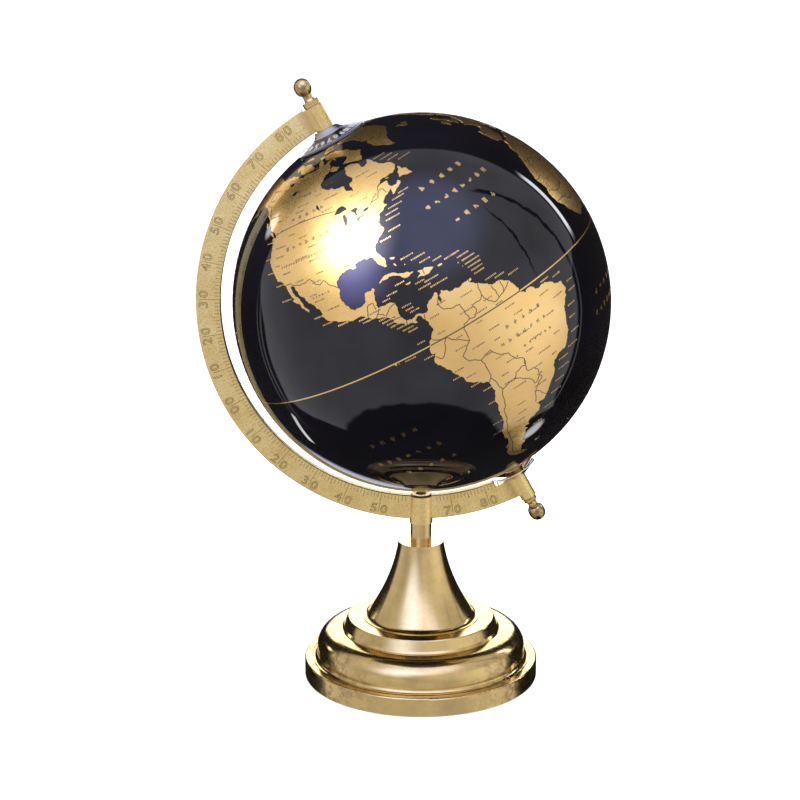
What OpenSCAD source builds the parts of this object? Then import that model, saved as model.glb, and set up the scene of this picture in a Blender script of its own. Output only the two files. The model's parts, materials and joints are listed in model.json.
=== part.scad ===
// Desktop globe on a turned brass stand: a ball that spins on a tilted axle, held by a C-shaped arm.
// The origin is the centre of the felt pad's underside. +Z is up, and the arm lies in the XZ plane.

/* [Globe] */
// Outside diameter of the ball
globe_d = 200; // [190:1:205]
// Wall of the moulded shells
shell_wall = 2.5; // [1.5:0.1:4]
// Tilt of the axle from vertical, towards -X at the north end
axis_tilt = 28.5; // [20:0.5:32]
// Height of the joint band inside the ball
band_h = 16; // [8:1:30]

/* [Arm] */
// Gap between the ball and the arm
arm_gap = 6.2; // [6:0.1:10]
// Width of the arm's blade, across its flat face
arm_w = 13.1; // [12:0.1:16]
// Thickness of the arm's blade
arm_t = 5.4; // [4:0.1:7]
// Bevel on the blade's edges
arm_bevel = 0.4; // [0.2:0.1:0.8]
// Diameter of the boss at the north end
north_boss_d = 9.4; // [9:0.1:11]
// Diameter of the boss at the south end
south_boss_d = 8.4; // [8:0.1:11]
// Radius of the fillets that run from the blade to the end bosses
boss_fillet_r = 9; // [4:1:14]
// Diameter of the boss at the bottom, over the stem
foot_boss_d = 12.6; // [11.6:0.1:16]
// How far the bottom boss reaches below the blade
foot_boss_drop = 2.7; // [1:0.1:6]

/* [Base] */
// Diameter of the foot
foot_d = 128; // [124:1:140]
// Height of the foot's rim
rim_h = 10.6; // [9:0.1:12]
// Radius of the round swell above the rim
swell_r = 9.9; // [9:0.1:10.5]
// Wall of the spun brass shells
spun_wall = 1.4; // [1:0.1:1.8]
// Diameter of the plinth at its top
plinth_top_d = 80.6; // [78:0.1:82]
// Diameter of the plinth at its bottom
plinth_base_d = 84.6; // [83:0.1:86]
// Height of the plinth
plinth_h = 7; // [5:0.1:10]
// Thickness of the felt pad
felt_t = 1.6; // [1:0.1:2]

/* [Column] */
// Diameter of the column at its top
column_top_d = 24.6; // [20:0.1:28]
// Diameter of the column just above its foot fillet
column_base_d = 59.9; // [56:0.1:62]
// Height of the column above the plinth
column_h = 42.9; // [38:0.1:50]
// Radius of the column's flare
flare_r = 98; // [85:1:130]
// Fillet at the foot of the column
column_fillet_r = 4; // [2:0.5:5]
// Diameter of the stem between column and arm
stem_d = 11.4; // [9.6:0.1:12]
// Height of the stem that shows
stem_h = 10.5; // [6:0.5:20]

/* [Axle] */
// Diameter of the axle rod
axle_d = 4; // [3.6:0.1:4.4]
// Radial clearance of what turns on the axle
running_clearance = 0.05; // [0.02:0.01:0.09]
// Width of the finials' balls
finial_d = 9; // [7:0.1:10]
// How much longer than wide the finials' balls are
finial_stretch = 1; // [0.2:0.1:2]

/* [Hour dial] */
// Diameter of the hour dial
dial_d = 38.4; // [30:0.1:40]
// Diameter at the foot of the dial's hub
hub_base_d = 18.4; // [17:0.1:20]
// Diameter at the top of the dial's hub
hub_top_d = 12.4; // [8:0.1:14]
// Diameter of the cup at the south pole
cup_d = 25.6; // [16:0.1:26]

/* [Hidden] */

fine = 180;
glue_gap = 0.05;
thread_gap = 0.02;
sheet_t = 0.8;
bevel = 0.5;
small_bevel = 0.3;
eps = 1;

globe_r = globe_d / 2;
arm_in_r = globe_r + arm_gap;
arm_out_r = arm_in_r + arm_w;
axle_r = axle_d / 2;
running_r = axle_r + running_clearance;
seated_r = axle_r + thread_gap;

// Heights of the foot, from the ground up
foot_z = 0.5;
foot_r = foot_d / 2;
rim_wall = 1.8;
rim_edge_r = 1;
cove_r = 2.3;
cove_h = 1.9;
cove_lift = 0.05;
groove_w = 0.6;
swell_x = foot_r - 16.8;
swell_z = rim_h + 5.7;
swell_out_r = swell_x + swell_r;
cove_out_r = swell_out_r + cove_r;
foot_top_z = swell_z + swell_r + 0.4;
plinth_flare = 0.9;
plate_r = plinth_base_d / 2 + plinth_flare + 0.4;
plinth_z = foot_top_z + plinth_h;
column_lip = 0.4;
column_z = plinth_z + column_h;
stem_z = column_z + stem_h;
arm_low_z = stem_z + foot_boss_drop;
globe_z = arm_low_z + arm_out_r;

// Tie rod and what it clamps
tie_r = 3;
tie_hole_r = 3.2;
tie_top_z = arm_low_z + arm_w - 2.4;
tie_low_z = 2.6;
ballast_r = foot_r - rim_wall - 0.2;
ballast_top_z = rim_h - spun_wall;
ballast_hub_r = 16;
ballast_hub_z = 17;
nut_pocket_r = 9.5;
nut_pocket_z = 12;
washer_r = 9;
washer_t = 1.6;
lock_r = 5.5;
lock_t = 1.5;
lock_split = 1;
nut_flats = 10;
nut_t = 5;
spigot_r = 4.5;
spigot_h = 3;
top_plate_t = 3;

// The column's flare is one arc through its top edge and its foot
flare_top = [column_top_d / 2, column_z];
flare_foot = [column_base_d / 2, plinth_z + column_lip];
flare_chord = norm(flare_foot - flare_top);
flare_along = (flare_foot - flare_top) / flare_chord;
flare_out = [-flare_along[1], flare_along[0]];
flare_rise = sqrt(flare_r * flare_r - flare_chord * flare_chord / 4);
flare_c = (flare_top + flare_foot) / 2 + flare_out * flare_rise;
fillet_z = plinth_z + column_lip + column_fillet_r;
fillet_drop = flare_c[1] - fillet_z;
fillet_span = flare_r - column_fillet_r;
fillet_x = flare_c[0] - sqrt(fillet_span * fillet_span - fillet_drop * fillet_drop);
fillet_start = flare_c + ([fillet_x, fillet_z] - flare_c) * flare_r / fillet_span;

// Places along the axle, measured from the ball's centre towards the north
north_boss_in = arm_in_r - 0.7;
north_boss_out = arm_out_r - 0.8;
south_boss_in = arm_in_r + 2.3;
south_boss_out = arm_out_r + 3.2;
spot_r = cup_d / 2 + 0.7;
pole_hole_r = 4;
bush_seat = globe_r - 0.05;
bush_depth = 8;
north_flange_r = 6.5;
north_flange_top = bush_seat + 1.25;
thrust_t = 0.5;
thrust_r = 5.2;
slip = 0.05;
south_collar_r = 4.8;
south_collar_end = bush_seat + 3.65;
south_washer_end = south_collar_end + slip + thrust_t;
dial_plate = north_flange_top + 2 * slip + thrust_t;
dial_edge = sqrt(globe_r * globe_r - dial_d * dial_d / 4) + 0.4;
hub_top = north_boss_in - 0.15;
hub_edge = 0.2;
cup_floor = south_boss_in - slip;
cup_depth = 4.1;
cup_rim = cup_floor - cup_depth;

// Finials and the studs they screw on to
stud_r = 1.5;
stud_l = 6;
neck_r = 2.5;
ball_r = finial_d / 2;
ball_sink = 0.8;
north_collar_d = 8.8;
north_collar_h = 3.2;
north_neck_h = 3.3;
south_collar_d = 7.2;
south_collar_h = 2.8;
south_neck_h = 2.6;

// Puts its children in the axle's own frame: the ball's centre at the origin and north along +Z
module on_axle() {
    translate([0, 0, globe_z]) rotate([0, -axis_tilt, 0]) children();
}

// The same frame turned over, so that the south pole is along +Z
module on_axle_south() {
    on_axle() rotate([180, 0, 0]) children();
}

// A ring or washer around Z
module ring(r_out, r_in, low, high) {
    translate([0, 0, low]) difference() {
        cylinder(r = r_out, h = high - low, $fn = fine);
        translate([0, 0, -eps]) cylinder(r = r_in, h = high - low + 2 * eps, $fn = fine);
    }
}

module felt_pad() {
    color("darkgreen") cylinder(r = ballast_r - 0.5, h = felt_t, $fn = fine);
}

module ballast_weight() {
    color("dimgray") difference() {
        union() {
            translate([0, 0, felt_t]) cylinder(r = ballast_r, h = ballast_top_z - felt_t, $fn = fine);
            translate([0, 0, felt_t]) cylinder(r = ballast_hub_r, h = ballast_hub_z - felt_t, $fn = fine);
        }
        cylinder(r = tie_hole_r, h = ballast_hub_z + eps, $fn = fine);
        cylinder(r = nut_pocket_r, h = nut_pocket_z, $fn = fine);
    }
}

// Section through the foot above its rim, out to the round swell, drawn in by inset where it is the inside
module swell_section(inset, top_x, top_z) {
    translate([swell_x, swell_z]) circle(r = swell_r - inset, $fn = fine);
    polygon([[0, 0], [swell_out_r - inset, 0], [swell_out_r - inset, swell_z], [swell_x, swell_z],
             [swell_x, swell_z + swell_r - inset], [top_x, top_z], [0, top_z]]);
}

// Section of the hollow flare that leads from the rim's ledge up to the swell
module cove_section() {
    difference() {
        translate([swell_x, rim_h - eps]) square([cove_out_r - swell_x, cove_h + eps]);
        translate([cove_out_r + cove_lift, rim_h + cove_r + cove_lift]) circle(r = cove_r, $fn = fine);
    }
}

module base_foot() {
    color("goldenrod") rotate_extrude($fn = fine) difference() {
        union() {
            swell_section(0, plate_r, foot_top_z);
            square([foot_r, rim_h - rim_edge_r]);
            square([foot_r - rim_edge_r, rim_h]);
            translate([foot_r - rim_edge_r, rim_h - rim_edge_r]) circle(r = rim_edge_r, $fn = fine);
            cove_section();
        }
        translate([0, -eps]) square([foot_r + eps, foot_z + eps]);
        swell_section(spun_wall, swell_x - eps, swell_z + swell_r - spun_wall);
        square([foot_r - rim_wall, ballast_top_z]);
        square([tie_hole_r, foot_top_z + eps]);
        translate([cove_out_r, rim_h - groove_w]) square([groove_w, groove_w + eps]);
    }
}

module plinth_ring() {
    base_r = plinth_base_d / 2;
    top_r = plinth_top_d / 2;
    flare_z = foot_top_z + 1.6;
    seat_w = 6;
    color("goldenrod") rotate_extrude($fn = fine) difference() {
        polygon([[0, foot_top_z], [base_r + plinth_flare, foot_top_z],
                 [base_r + plinth_flare, foot_top_z + bevel], [base_r, flare_z],
                 [top_r, plinth_z - bevel], [top_r - bevel, plinth_z], [0, plinth_z]]);
        polygon([[0, foot_top_z - eps], [base_r - spun_wall, foot_top_z - eps],
                 [base_r - spun_wall, flare_z], [top_r - spun_wall, plinth_z - spun_wall],
                 [0, plinth_z - spun_wall]]);
        square([flare_foot[0] - seat_w, plinth_z + eps]);
    }
}

module trumpet_column() {
    color("goldenrod") rotate_extrude($fn = fine) difference() {
        union() {
            difference() {
                translate([0, plinth_z]) square([flare_foot[0] + 0.2, column_h]);
                translate(flare_c) circle(r = flare_r, $fn = 2 * fine);
            }
            difference() {
                translate([fillet_start[0] - eps, plinth_z])
                    square([fillet_x - fillet_start[0] + eps, fillet_start[1] - plinth_z]);
                translate([fillet_x, fillet_z]) circle(r = column_fillet_r, $fn = fine);
            }
        }
        difference() {
            translate([0, plinth_z - eps]) square([flare_foot[0] - 1, column_h - top_plate_t + eps]);
            translate(flare_c) circle(r = flare_r + spun_wall, $fn = 2 * fine);
        }
        translate([0, plinth_z]) square([spigot_r + glue_gap, column_h + eps]);
    }
}

module column_stem() {
    color("goldenrod") rotate_extrude($fn = fine) difference() {
        union() {
            polygon([[0, column_z], [stem_d / 2, column_z], [stem_d / 2, stem_z - small_bevel],
                     [stem_d / 2 - small_bevel, stem_z], [0, stem_z]]);
            translate([0, column_z - spigot_h]) square([spigot_r, spigot_h]);
        }
        translate([0, column_z - spigot_h - eps]) square([tie_hole_r, spigot_h + stem_h + 2 * eps]);
    }
}

module tie_rod() {
    color("silver") translate([0, 0, tie_low_z])
        cylinder(r = tie_r - thread_gap, h = tie_top_z - tie_low_z, $fn = fine);
}

module tie_rod_washer() {
    color("silver") ring(washer_r, tie_hole_r, nut_pocket_z - washer_t, nut_pocket_z);
}

module tie_rod_lock_washer() {
    top = nut_pocket_z - washer_t;
    color("silver") difference() {
        ring(lock_r, tie_hole_r, top - lock_t, top);
        translate([0, -lock_split / 2, top - lock_t - eps])
            cube([lock_r + eps, lock_split, lock_t + 2 * eps]);
    }
}

module tie_rod_nut() {
    top = nut_pocket_z - washer_t - lock_t;
    color("silver") translate([0, 0, top - nut_t]) difference() {
        cylinder(r = nut_flats / 2 / cos(30), h = nut_t, $fn = 6);
        translate([0, 0, -eps]) cylinder(r = tie_r, h = nut_t + 2 * eps, $fn = fine);
    }
}

// Bevelled section of the arm's blade, at its distance from the ball's centre
module blade_section(thick) {
    b = arm_bevel;
    polygon([[arm_in_r, b - thick / 2], [arm_in_r + b, -thick / 2], [arm_out_r - b, -thick / 2],
             [arm_out_r, b - thick / 2], [arm_out_r, thick / 2 - b], [arm_out_r - b, thick / 2],
             [arm_in_r + b, thick / 2], [arm_in_r, thick / 2 - b]]);
}

// Half a turn of the blade, from the north end round the -X side to the south end, in the axle's frame
module blade(thick) {
    rotate([90, 0, 0]) rotate([0, 0, 90]) rotate_extrude(angle = 180, $fn = 2 * fine) blade_section(thick);
}

// Section across an end boss with fillets that run out into the blade on its -X side
module boss_section(boss_r) {
    fillet_y = arm_t / 2 + boss_fillet_r;
    reach = sqrt((boss_r + boss_fillet_r) * (boss_r + boss_fillet_r) - fillet_y * fillet_y);
    circle(r = boss_r, $fn = fine);
    difference() {
        translate([-reach, -boss_r]) square([reach, 2 * boss_r]);
        for (side = [-1, 1])
            translate([-reach, side * fillet_y]) circle(r = boss_fillet_r, $fn = fine);
    }
}

module end_boss(boss_r, low, high) {
    skin = 0.02;
    translate([0, 0, low]) cylinder(r = boss_r, h = high - low, $fn = fine);
    intersection() {
        translate([0, 0, low]) linear_extrude(height = arm_out_r - low) boss_section(boss_r);
        rotate([90, 0, 0]) linear_extrude(height = 2 * boss_r + eps, center = true) difference() {
            circle(r = arm_out_r - skin, $fn = 2 * fine);
            circle(r = arm_in_r + skin, $fn = 2 * fine);
        }
    }
}

// Boss at the bottom of the arm, with a cone at its top that runs into the blade
module foot_boss() {
    boss_r = foot_boss_d / 2;
    cone_z = arm_low_z + arm_w - 0.4;
    cone_h = 1;
    translate([0, 0, stem_z]) cylinder(r = boss_r, h = cone_z - stem_z, $fn = fine);
    translate([0, 0, cone_z]) cylinder(r1 = boss_r, r2 = boss_r - cone_h, h = cone_h, $fn = fine);
}

// The arm is faced flat where the north finial sits, and spot-faced on its inside for the south cup
module meridian_arm() {
    facing_h = 5;
    spot_h = 8;
    color("darkkhaki") difference() {
        union() {
            on_axle() blade(arm_t);
            on_axle() end_boss(north_boss_d / 2, north_boss_in, north_boss_out);
            on_axle_south() end_boss(south_boss_d / 2, south_boss_in, south_boss_out);
            foot_boss();
        }
        on_axle() cylinder(r = seated_r, h = arm_out_r + eps, $fn = fine);
        on_axle() translate([0, 0, north_boss_out])
            cylinder(r = north_boss_d / 2 + 2 * eps, h = facing_h, $fn = fine);
        on_axle_south() cylinder(r = seated_r, h = south_boss_out + eps, $fn = fine);
        on_axle_south() translate([0, 0, south_boss_in - spot_h])
            cylinder(r = spot_r, h = spot_h, $fn = fine);
        translate([0, 0, stem_z - eps])
            cylinder(r = tie_r, h = foot_boss_drop + arm_w + 3 * eps, $fn = fine);
    }
}

module axle_rod() {
    color("silver") on_axle() {
        translate([0, 0, -south_boss_out])
            cylinder(r = axle_r, h = south_boss_out + north_boss_out, $fn = fine);
        translate([0, 0, north_boss_out]) cylinder(r = stud_r, h = stud_l, $fn = fine);
        translate([0, 0, -south_boss_out - stud_l]) cylinder(r = stud_r, h = stud_l, $fn = fine);
    }
}

// A finial standing on Z = 0: collar, waisted neck and oval ball, with a threaded hole in its foot
module finial(collar_d, collar_l, neck_l) {
    collar_r = collar_d / 2;
    neck_flare = 0.4;
    ball_z = collar_l + neck_l + ball_r - ball_sink;
    rotate_extrude($fn = fine) difference() {
        union() {
            polygon([[0, 0], [collar_r - small_bevel, 0], [collar_r, small_bevel],
                     [collar_r, collar_l - bevel], [collar_r - bevel, collar_l],
                     [neck_r + neck_flare, collar_l], [neck_r, collar_l + 1],
                     [neck_r, ball_z], [0, ball_z]]);
            intersection() {
                union() {
                    translate([0, ball_z]) circle(r = ball_r, $fn = fine);
                    translate([0, ball_z]) square([ball_r, finial_stretch]);
                    translate([0, ball_z + finial_stretch]) circle(r = ball_r, $fn = fine);
                }
                square([ball_r + eps, ball_z + finial_stretch + ball_r + eps]);
            }
        }
        translate([0, -eps]) square([stud_r + thread_gap, stud_l + 0.2 + eps]);
    }
}

module north_finial() {
    color("goldenrod") on_axle() translate([0, 0, north_boss_out])
        finial(north_collar_d, north_collar_h, north_neck_h);
}

module south_finial() {
    color("goldenrod") on_axle_south() translate([0, 0, south_boss_out])
        finial(south_collar_d, south_collar_h, south_neck_h);
}

module north_thrust_washer() {
    low = north_flange_top + slip;
    color("ivory") on_axle() ring(thrust_r, seated_r, low, low + thrust_t);
}

module south_thrust_washer() {
    color("ivory") on_axle_south() ring(thrust_r, seated_r, south_collar_end + slip, south_washer_end);
}

module south_spacer() {
    color("goldenrod") on_axle_south() ring(south_collar_r, seated_r, south_washer_end, cup_floor - sheet_t);
}

module south_cup() {
    cup_foot_r = hub_top_d / 2;
    color("gainsboro") on_axle_south() rotate_extrude($fn = fine)
        polygon([[seated_r, cup_floor - sheet_t], [cup_foot_r - 0.5, cup_floor - sheet_t],
                 [cup_d / 2 - sheet_t, cup_rim], [cup_d / 2, cup_rim], [cup_d / 2, cup_rim + 0.4],
                 [cup_foot_r, cup_floor], [seated_r, cup_floor]]);
}

// One half of the ball's shell, its rim on Z = 0 and its pole along +Z
module half_shell() {
    rotate_extrude($fn = 2 * fine) intersection() {
        difference() {
            circle(r = globe_r, $fn = 2 * fine);
            circle(r = globe_r - shell_wall, $fn = 2 * fine);
        }
        translate([pole_hole_r, 0]) square(globe_r + eps);
    }
}

module north_hemisphere() {
    color("midnightblue") on_axle() half_shell();
}

module south_hemisphere() {
    color("midnightblue") on_axle_south() half_shell();
}

module equator_band() {
    band_out_r = sqrt(pow(globe_r - shell_wall, 2) - pow(band_h / 2, 2)) - glue_gap;
    color("tan") on_axle() ring(band_out_r, band_out_r - 2, -band_h / 2, band_h / 2);
}

// A bush in the pole hole, with a collar on the ball's outside
module bushing(collar_r, collar_top) {
    difference() {
        union() {
            translate([0, 0, bush_seat - bush_depth])
                cylinder(r = pole_hole_r - glue_gap, h = bush_depth + eps / 10, $fn = fine);
            translate([0, 0, bush_seat]) cylinder(r = collar_r, h = collar_top - bush_seat, $fn = fine);
        }
        translate([0, 0, bush_seat - bush_depth - eps])
            cylinder(r = running_r, h = bush_depth + collar_top - bush_seat + 2 * eps, $fn = fine);
    }
}

module north_bushing() {
    color("goldenrod") on_axle() bushing(north_flange_r, north_flange_top);
}

module south_bushing() {
    color("goldenrod") on_axle_south() bushing(south_collar_r, south_collar_end);
}

// Sheet dial: flat under its hub, then a cone that slopes down close over the ball
module hour_dial() {
    bend_r = hub_base_d / 2 - 0.4;
    edge_r = dial_d / 2;
    color("gainsboro") on_axle() rotate_extrude($fn = fine)
        polygon([[running_r, dial_plate], [bend_r, dial_plate], [edge_r - small_bevel, dial_edge],
                 [edge_r, dial_edge], [edge_r, dial_edge + sheet_t - small_bevel],
                 [edge_r - small_bevel, dial_edge + sheet_t],
                 [bend_r + small_bevel, dial_plate + sheet_t], [running_r, dial_plate + sheet_t]]);
}

module dial_hub() {
    low = dial_plate + sheet_t;
    low_r = hub_base_d / 2 - hub_edge;
    top_r = hub_top_d / 2;
    color("lightsteelblue") on_axle() rotate_extrude($fn = fine)
        polygon([[running_r, low], [low_r, low], [low_r, low + hub_edge], [top_r, hub_top - hub_edge],
                 [top_r - hub_edge, hub_top], [running_r, hub_top]]);
}

felt_pad();
ballast_weight();
base_foot();
plinth_ring();
trumpet_column();
column_stem();
tie_rod();
tie_rod_washer();
tie_rod_lock_washer();
tie_rod_nut();
meridian_arm();
axle_rod();
north_finial();
south_finial();
north_thrust_washer();
south_thrust_washer();
south_spacer();
south_cup();
north_hemisphere();
south_hemisphere();
equator_band();
north_bushing();
south_bushing();
hour_dial();
dial_hub();
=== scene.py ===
# Desktop globe on a turned brass stand: finishes, printed map, degree scale and hour marks on the CAD frame.
import json
import math
import random

import bpy
import numpy as np
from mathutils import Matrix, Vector
from mathutils.geometry import delaunay_2d_cdt


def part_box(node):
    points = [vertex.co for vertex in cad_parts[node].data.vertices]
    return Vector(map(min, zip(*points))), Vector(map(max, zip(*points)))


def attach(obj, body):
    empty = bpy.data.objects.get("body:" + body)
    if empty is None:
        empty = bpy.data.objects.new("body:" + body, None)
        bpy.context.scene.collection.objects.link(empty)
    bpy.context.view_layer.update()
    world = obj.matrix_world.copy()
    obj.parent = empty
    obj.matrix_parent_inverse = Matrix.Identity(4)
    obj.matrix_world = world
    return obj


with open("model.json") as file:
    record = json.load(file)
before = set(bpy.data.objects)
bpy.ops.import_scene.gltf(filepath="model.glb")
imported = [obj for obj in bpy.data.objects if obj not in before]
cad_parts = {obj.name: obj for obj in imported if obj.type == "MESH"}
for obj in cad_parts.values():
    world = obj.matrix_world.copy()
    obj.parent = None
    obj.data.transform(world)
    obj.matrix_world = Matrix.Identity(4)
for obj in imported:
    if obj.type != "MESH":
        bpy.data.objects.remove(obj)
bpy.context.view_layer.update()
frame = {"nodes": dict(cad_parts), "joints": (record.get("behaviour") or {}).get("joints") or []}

MM = 0.001
NODES = frame["nodes"]
SPIN = next(j for j in frame["joints"] if j["name"] == "globe_spin")

# The axle's frame: the ball's centre, north along the axle, and two directions across it
CENTRE = Vector(SPIN["pos_m"])
NORTH = Vector(SPIN["axis"]).normalized()
SIDE = Vector((0, 1, 0))
ACROSS = SIDE.cross(NORTH)
UP = Vector((0, 0, 1))
BALL_R = (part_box("north_hemisphere")[1].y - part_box("north_hemisphere")[0].y) / 2

# Heights of the printed layers above the ball
SEA_LINE_TOP = 0.05 * MM
FOIL_TOP = 0.10 * MM
INK_TOP = 0.14 * MM
PRINT_LOW = -0.02 * MM

# How far the map is turned on the axle at rest, in degrees of longitude
MAP_TURN = 9.0

# ---------------------------------------------------------------- map outlines: latitude,longitude in degrees

AMERICAS = """71.4,-156.6 70.6,-160 69.9,-163 68.9,-166.2 67.1,-163.7 66.6,-162 66.2,-164.5 65.6,-168
64.6,-166.3 64.4,-163 64.7,-161 63.5,-161 63,-164.4 61.8,-166 60.6,-165 60,-162.2 58.8,-161.8 58.7,-158.8
58.8,-157.1 57.6,-157.6 56.4,-160 55.2,-162.8 54.7,-164.6 55.2,-161.5 55.9,-158.8 56.9,-156.6 58,-154.2
59.3,-153.5 60.8,-151.8 61.3,-149.9 60,-151.8 59.3,-151.5 59.8,-149 60.8,-147.5 60.2,-145 59.9,-141.5
59.5,-139.5 58.3,-136.8 57,-135.2 56,-133.2 54.9,-131 54,-130.2 52.5,-128.3 51.2,-127.6 50.3,-125.2
49.3,-123.3 48,-122.5 48.3,-124.7 46.3,-124 44.5,-124.1 42.8,-124.5 40.4,-124.4 39,-123.7 38,-122.9
37.2,-122.4 36.5,-121.9 35.3,-120.9 34.5,-120.5 34,-118.6 33.4,-117.6 32.5,-117.1 31,-116.3 29.8,-115.6
28.1,-114.1 27.8,-115 27,-114.2 26.2,-112.6 25,-112.1 23.4,-110.2 22.9,-109.9 23.6,-109.4 24.4,-110.4
25.5,-111.1 26.8,-111.9 28.3,-112.8 29.5,-114 31,-114.7 31.8,-114.8 31.3,-113.1 28.8,-112 28,-111.2
26,-109.4 24.9,-108 23.6,-106.8 22.4,-105.7 20.8,-105.4 20.2,-105.6 19.2,-104.7 18.2,-103.2 17.8,-102
17,-100.4 16.5,-98.8 15.8,-96.7 16.1,-95.2 16.1,-94 15,-92.6 14,-91.2 13.7,-90 13.2,-88.5 12.9,-87.5
12,-86.6 11.1,-85.8 10.3,-85.8 9.6,-85.1 9,-83.7 8.4,-83.3 8.1,-82.9 8.2,-82 7.5,-81 7.3,-80.2 8.2,-80.4
8.9,-79.5 8.5,-78.4 7.2,-77.9 6.2,-77.4 4.5,-77.4 3.5,-77.3 2.6,-78.4 1.6,-79 0.9,-80 -0.4,-80.4 -1,-80.9
-2.2,-81 -2.6,-79.9 -3.6,-80.6 -4.6,-81.3 -6,-81 -7.5,-79.6 -9.3,-78.4 -12,-77.1 -13.9,-76.3 -15.5,-75
-16.6,-73 -17.7,-71.3 -18.4,-70.4 -20.3,-70.2 -23.6,-70.5 -27.2,-70.9 -29.5,-71.4 -32,-71.5 -33.6,-71.6
-35.4,-72.5 -37.2,-73.6 -39.5,-73.3 -41.5,-73.6 -41.9,-72.7 -44.5,-73.3 -46,-75 -47.5,-74.5 -49.5,-75.4
-51.5,-75 -52.8,-73.7 -53.8,-72.2 -54.8,-70.5 -55.6,-68.2 -55,-65.4 -53.8,-67.4 -52.6,-68.4 -51.6,-69
-50.2,-68.4 -48.9,-67 -47.8,-65.8 -46.6,-67.4 -45.2,-66.6 -44,-65.3 -42.7,-65 -42.5,-63.7 -41,-65 -41,-62.9
-39,-62.1 -38.8,-60.5 -38.1,-57.6 -36.5,-56.8 -35.2,-57.4 -34.4,-58.5 -34.8,-56.2 -34.9,-54.9 -33.6,-53.4
-32,-52 -30,-50.3 -28.6,-48.9 -26,-48.6 -24,-46.5 -23.3,-44.8 -23,-42.1 -21.5,-41 -19.8,-40 -17.8,-39.2
-15.5,-39 -13,-38.5 -11,-37.1 -9.5,-35.7 -7.5,-34.8 -5.2,-35.4 -4.8,-37.2 -3.6,-38.7 -2.8,-40.5 -2.5,-44.3
-1.2,-45.8 -0.7,-47.8 -1.4,-48.6 -0.2,-50.2 0.8,-50 2.2,-50.6 4.3,-51.6 5.2,-53 5.9,-54.2 5.9,-56 6.3,-57.2
7.4,-58.5 8.5,-60.2 9.9,-61.8 10.7,-61.9 10.6,-63.2 10.2,-64.6 10.6,-66.2 10.5,-68.2 11.4,-69 12.1,-70
11.4,-70.4 10.9,-71.3 9.6,-71.1 9.2,-71.8 10.3,-72 11,-71.7 11.8,-71.4 12.4,-71.8 11.4,-73.4 11.1,-74.6
10.4,-75.5 9.4,-75.8 8.6,-76.8 8.8,-77.5 9.5,-78.8 9.4,-79.9 8.9,-81.2 9.2,-82.3 10,-83.1 11,-83.7
12.4,-83.6 15,-83.2 15.9,-84.6 15.8,-86.5 15.8,-88.2 17.9,-88.1 19.4,-87.6 21,-86.9 21.6,-87.2 21.4,-89.6
20.5,-90.5 19.2,-90.8 18.6,-92 18.4,-93.8 18.2,-94.9 19.2,-96.1 20.9,-97.2 22.3,-97.8 24,-97.7 25.9,-97.2
27.6,-97.3 28.8,-95.8 29.5,-94.5 29.6,-92.6 29.2,-90.9 29,-89.3 30.2,-89.3 30.3,-87.6 29.7,-85.2 30,-84
29.1,-83 27.8,-82.7 26.4,-82 25.2,-81.1 25.2,-80.4 26.8,-80 28.5,-80.6 30.2,-81.4 31.8,-81 33,-79.4 33.9,-78
34.7,-76.6 35.2,-75.6 36.9,-76 38.9,-76.4 37.2,-75.9 38.8,-75.1 39.4,-75.5 39,-74.8 40.4,-74 41.1,-71.9
41.4,-71.3 41.7,-70 42,-70.6 42.8,-70.8 43.9,-69.5 44.7,-67.2 45.2,-66.2 45.6,-64.8 44.8,-65.4 43.5,-65.8
44.6,-63.4 45.3,-61.2 46,-60 47,-60.6 45.9,-62 46.2,-64.2 47.2,-64.9 48,-64.6 48.9,-64.3 48.9,-66.8
47.5,-69.9 46.8,-71.2 48.1,-69.5 49.4,-67.2 50.3,-66.4 50.2,-63 50.2,-60 51.4,-57.2 52.4,-55.8 54.8,-57.8
55.8,-60.3 57.5,-61.6 60.4,-64.6 58.8,-66.2 58.3,-67.8 58.8,-69.4 61.2,-70.2 62.4,-73.6 62.4,-77.4 60.8,-78
58.4,-78.4 56.6,-76.6 55.2,-77.6 54.6,-79.6 52.8,-78.9 51.3,-79.2 52.9,-82.2 55.1,-82.3 55.3,-85 56.8,-88.6
57.1,-91.4 58,-92.8 58.8,-94.4 60.8,-94.6 62.2,-92.8 63.6,-91 64.2,-88.2 65.4,-87 66.4,-85.8 67.6,-87.4
68.6,-85.6 69.6,-84 68.6,-82.4 67.4,-81.4 69.6,-81.4 69.8,-85 68.9,-88.8 68.5,-90.4 70,-92 71.9,-94.4
70,-96.3 68.4,-96 67.9,-98.5 67.9,-103 68.2,-108 67.4,-111 67.8,-115 69.4,-121 70.1,-125 69.5,-128.5
69.9,-131.5 69.3,-135 69.1,-137.4 69.7,-141 70.2,-145.5 70.6,-150.5"""

AMERICAN_LAKES = [
    "46.6,-84.8 46.6,-87.4 46.8,-90.8 47.6,-90 48.6,-88.4 48.6,-86 47.6,-84.8",
    "45.9,-85.5 44.8,-86.3 43,-86.4 41.7,-87 42.2,-87.8 44.2,-87.6 45.6,-87.1",
    "46,-84.2 45.2,-83.4 43.4,-82.4 43.4,-81.8 44.8,-81.3 45.2,-80.4 46,-81.4",
    "42,-83.2 41.4,-82.4 42.1,-80.4 42.8,-79 42.6,-80.8 42.2,-82.2",
    "43.3,-79.6 43.3,-77.4 43.8,-76.4 44.1,-77.2 43.8,-79",
    "50.5,-96.7 52,-97 53.7,-98.4 52.8,-98.8 51.4,-97.8",
    "60.9,-115.6 61.8,-112 62.6,-110.4 62.4,-114.2 61.6,-116.8",
    "65.2,-121.4 65.6,-118.6 66.6,-119.4 66.8,-124.4 65.8,-123",
    "59,-109.6 59.4,-107 59.4,-110.6",
    "11.4,-84.6 11.6,-85.6 12.1,-86 11.9,-85.2",
]

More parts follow.
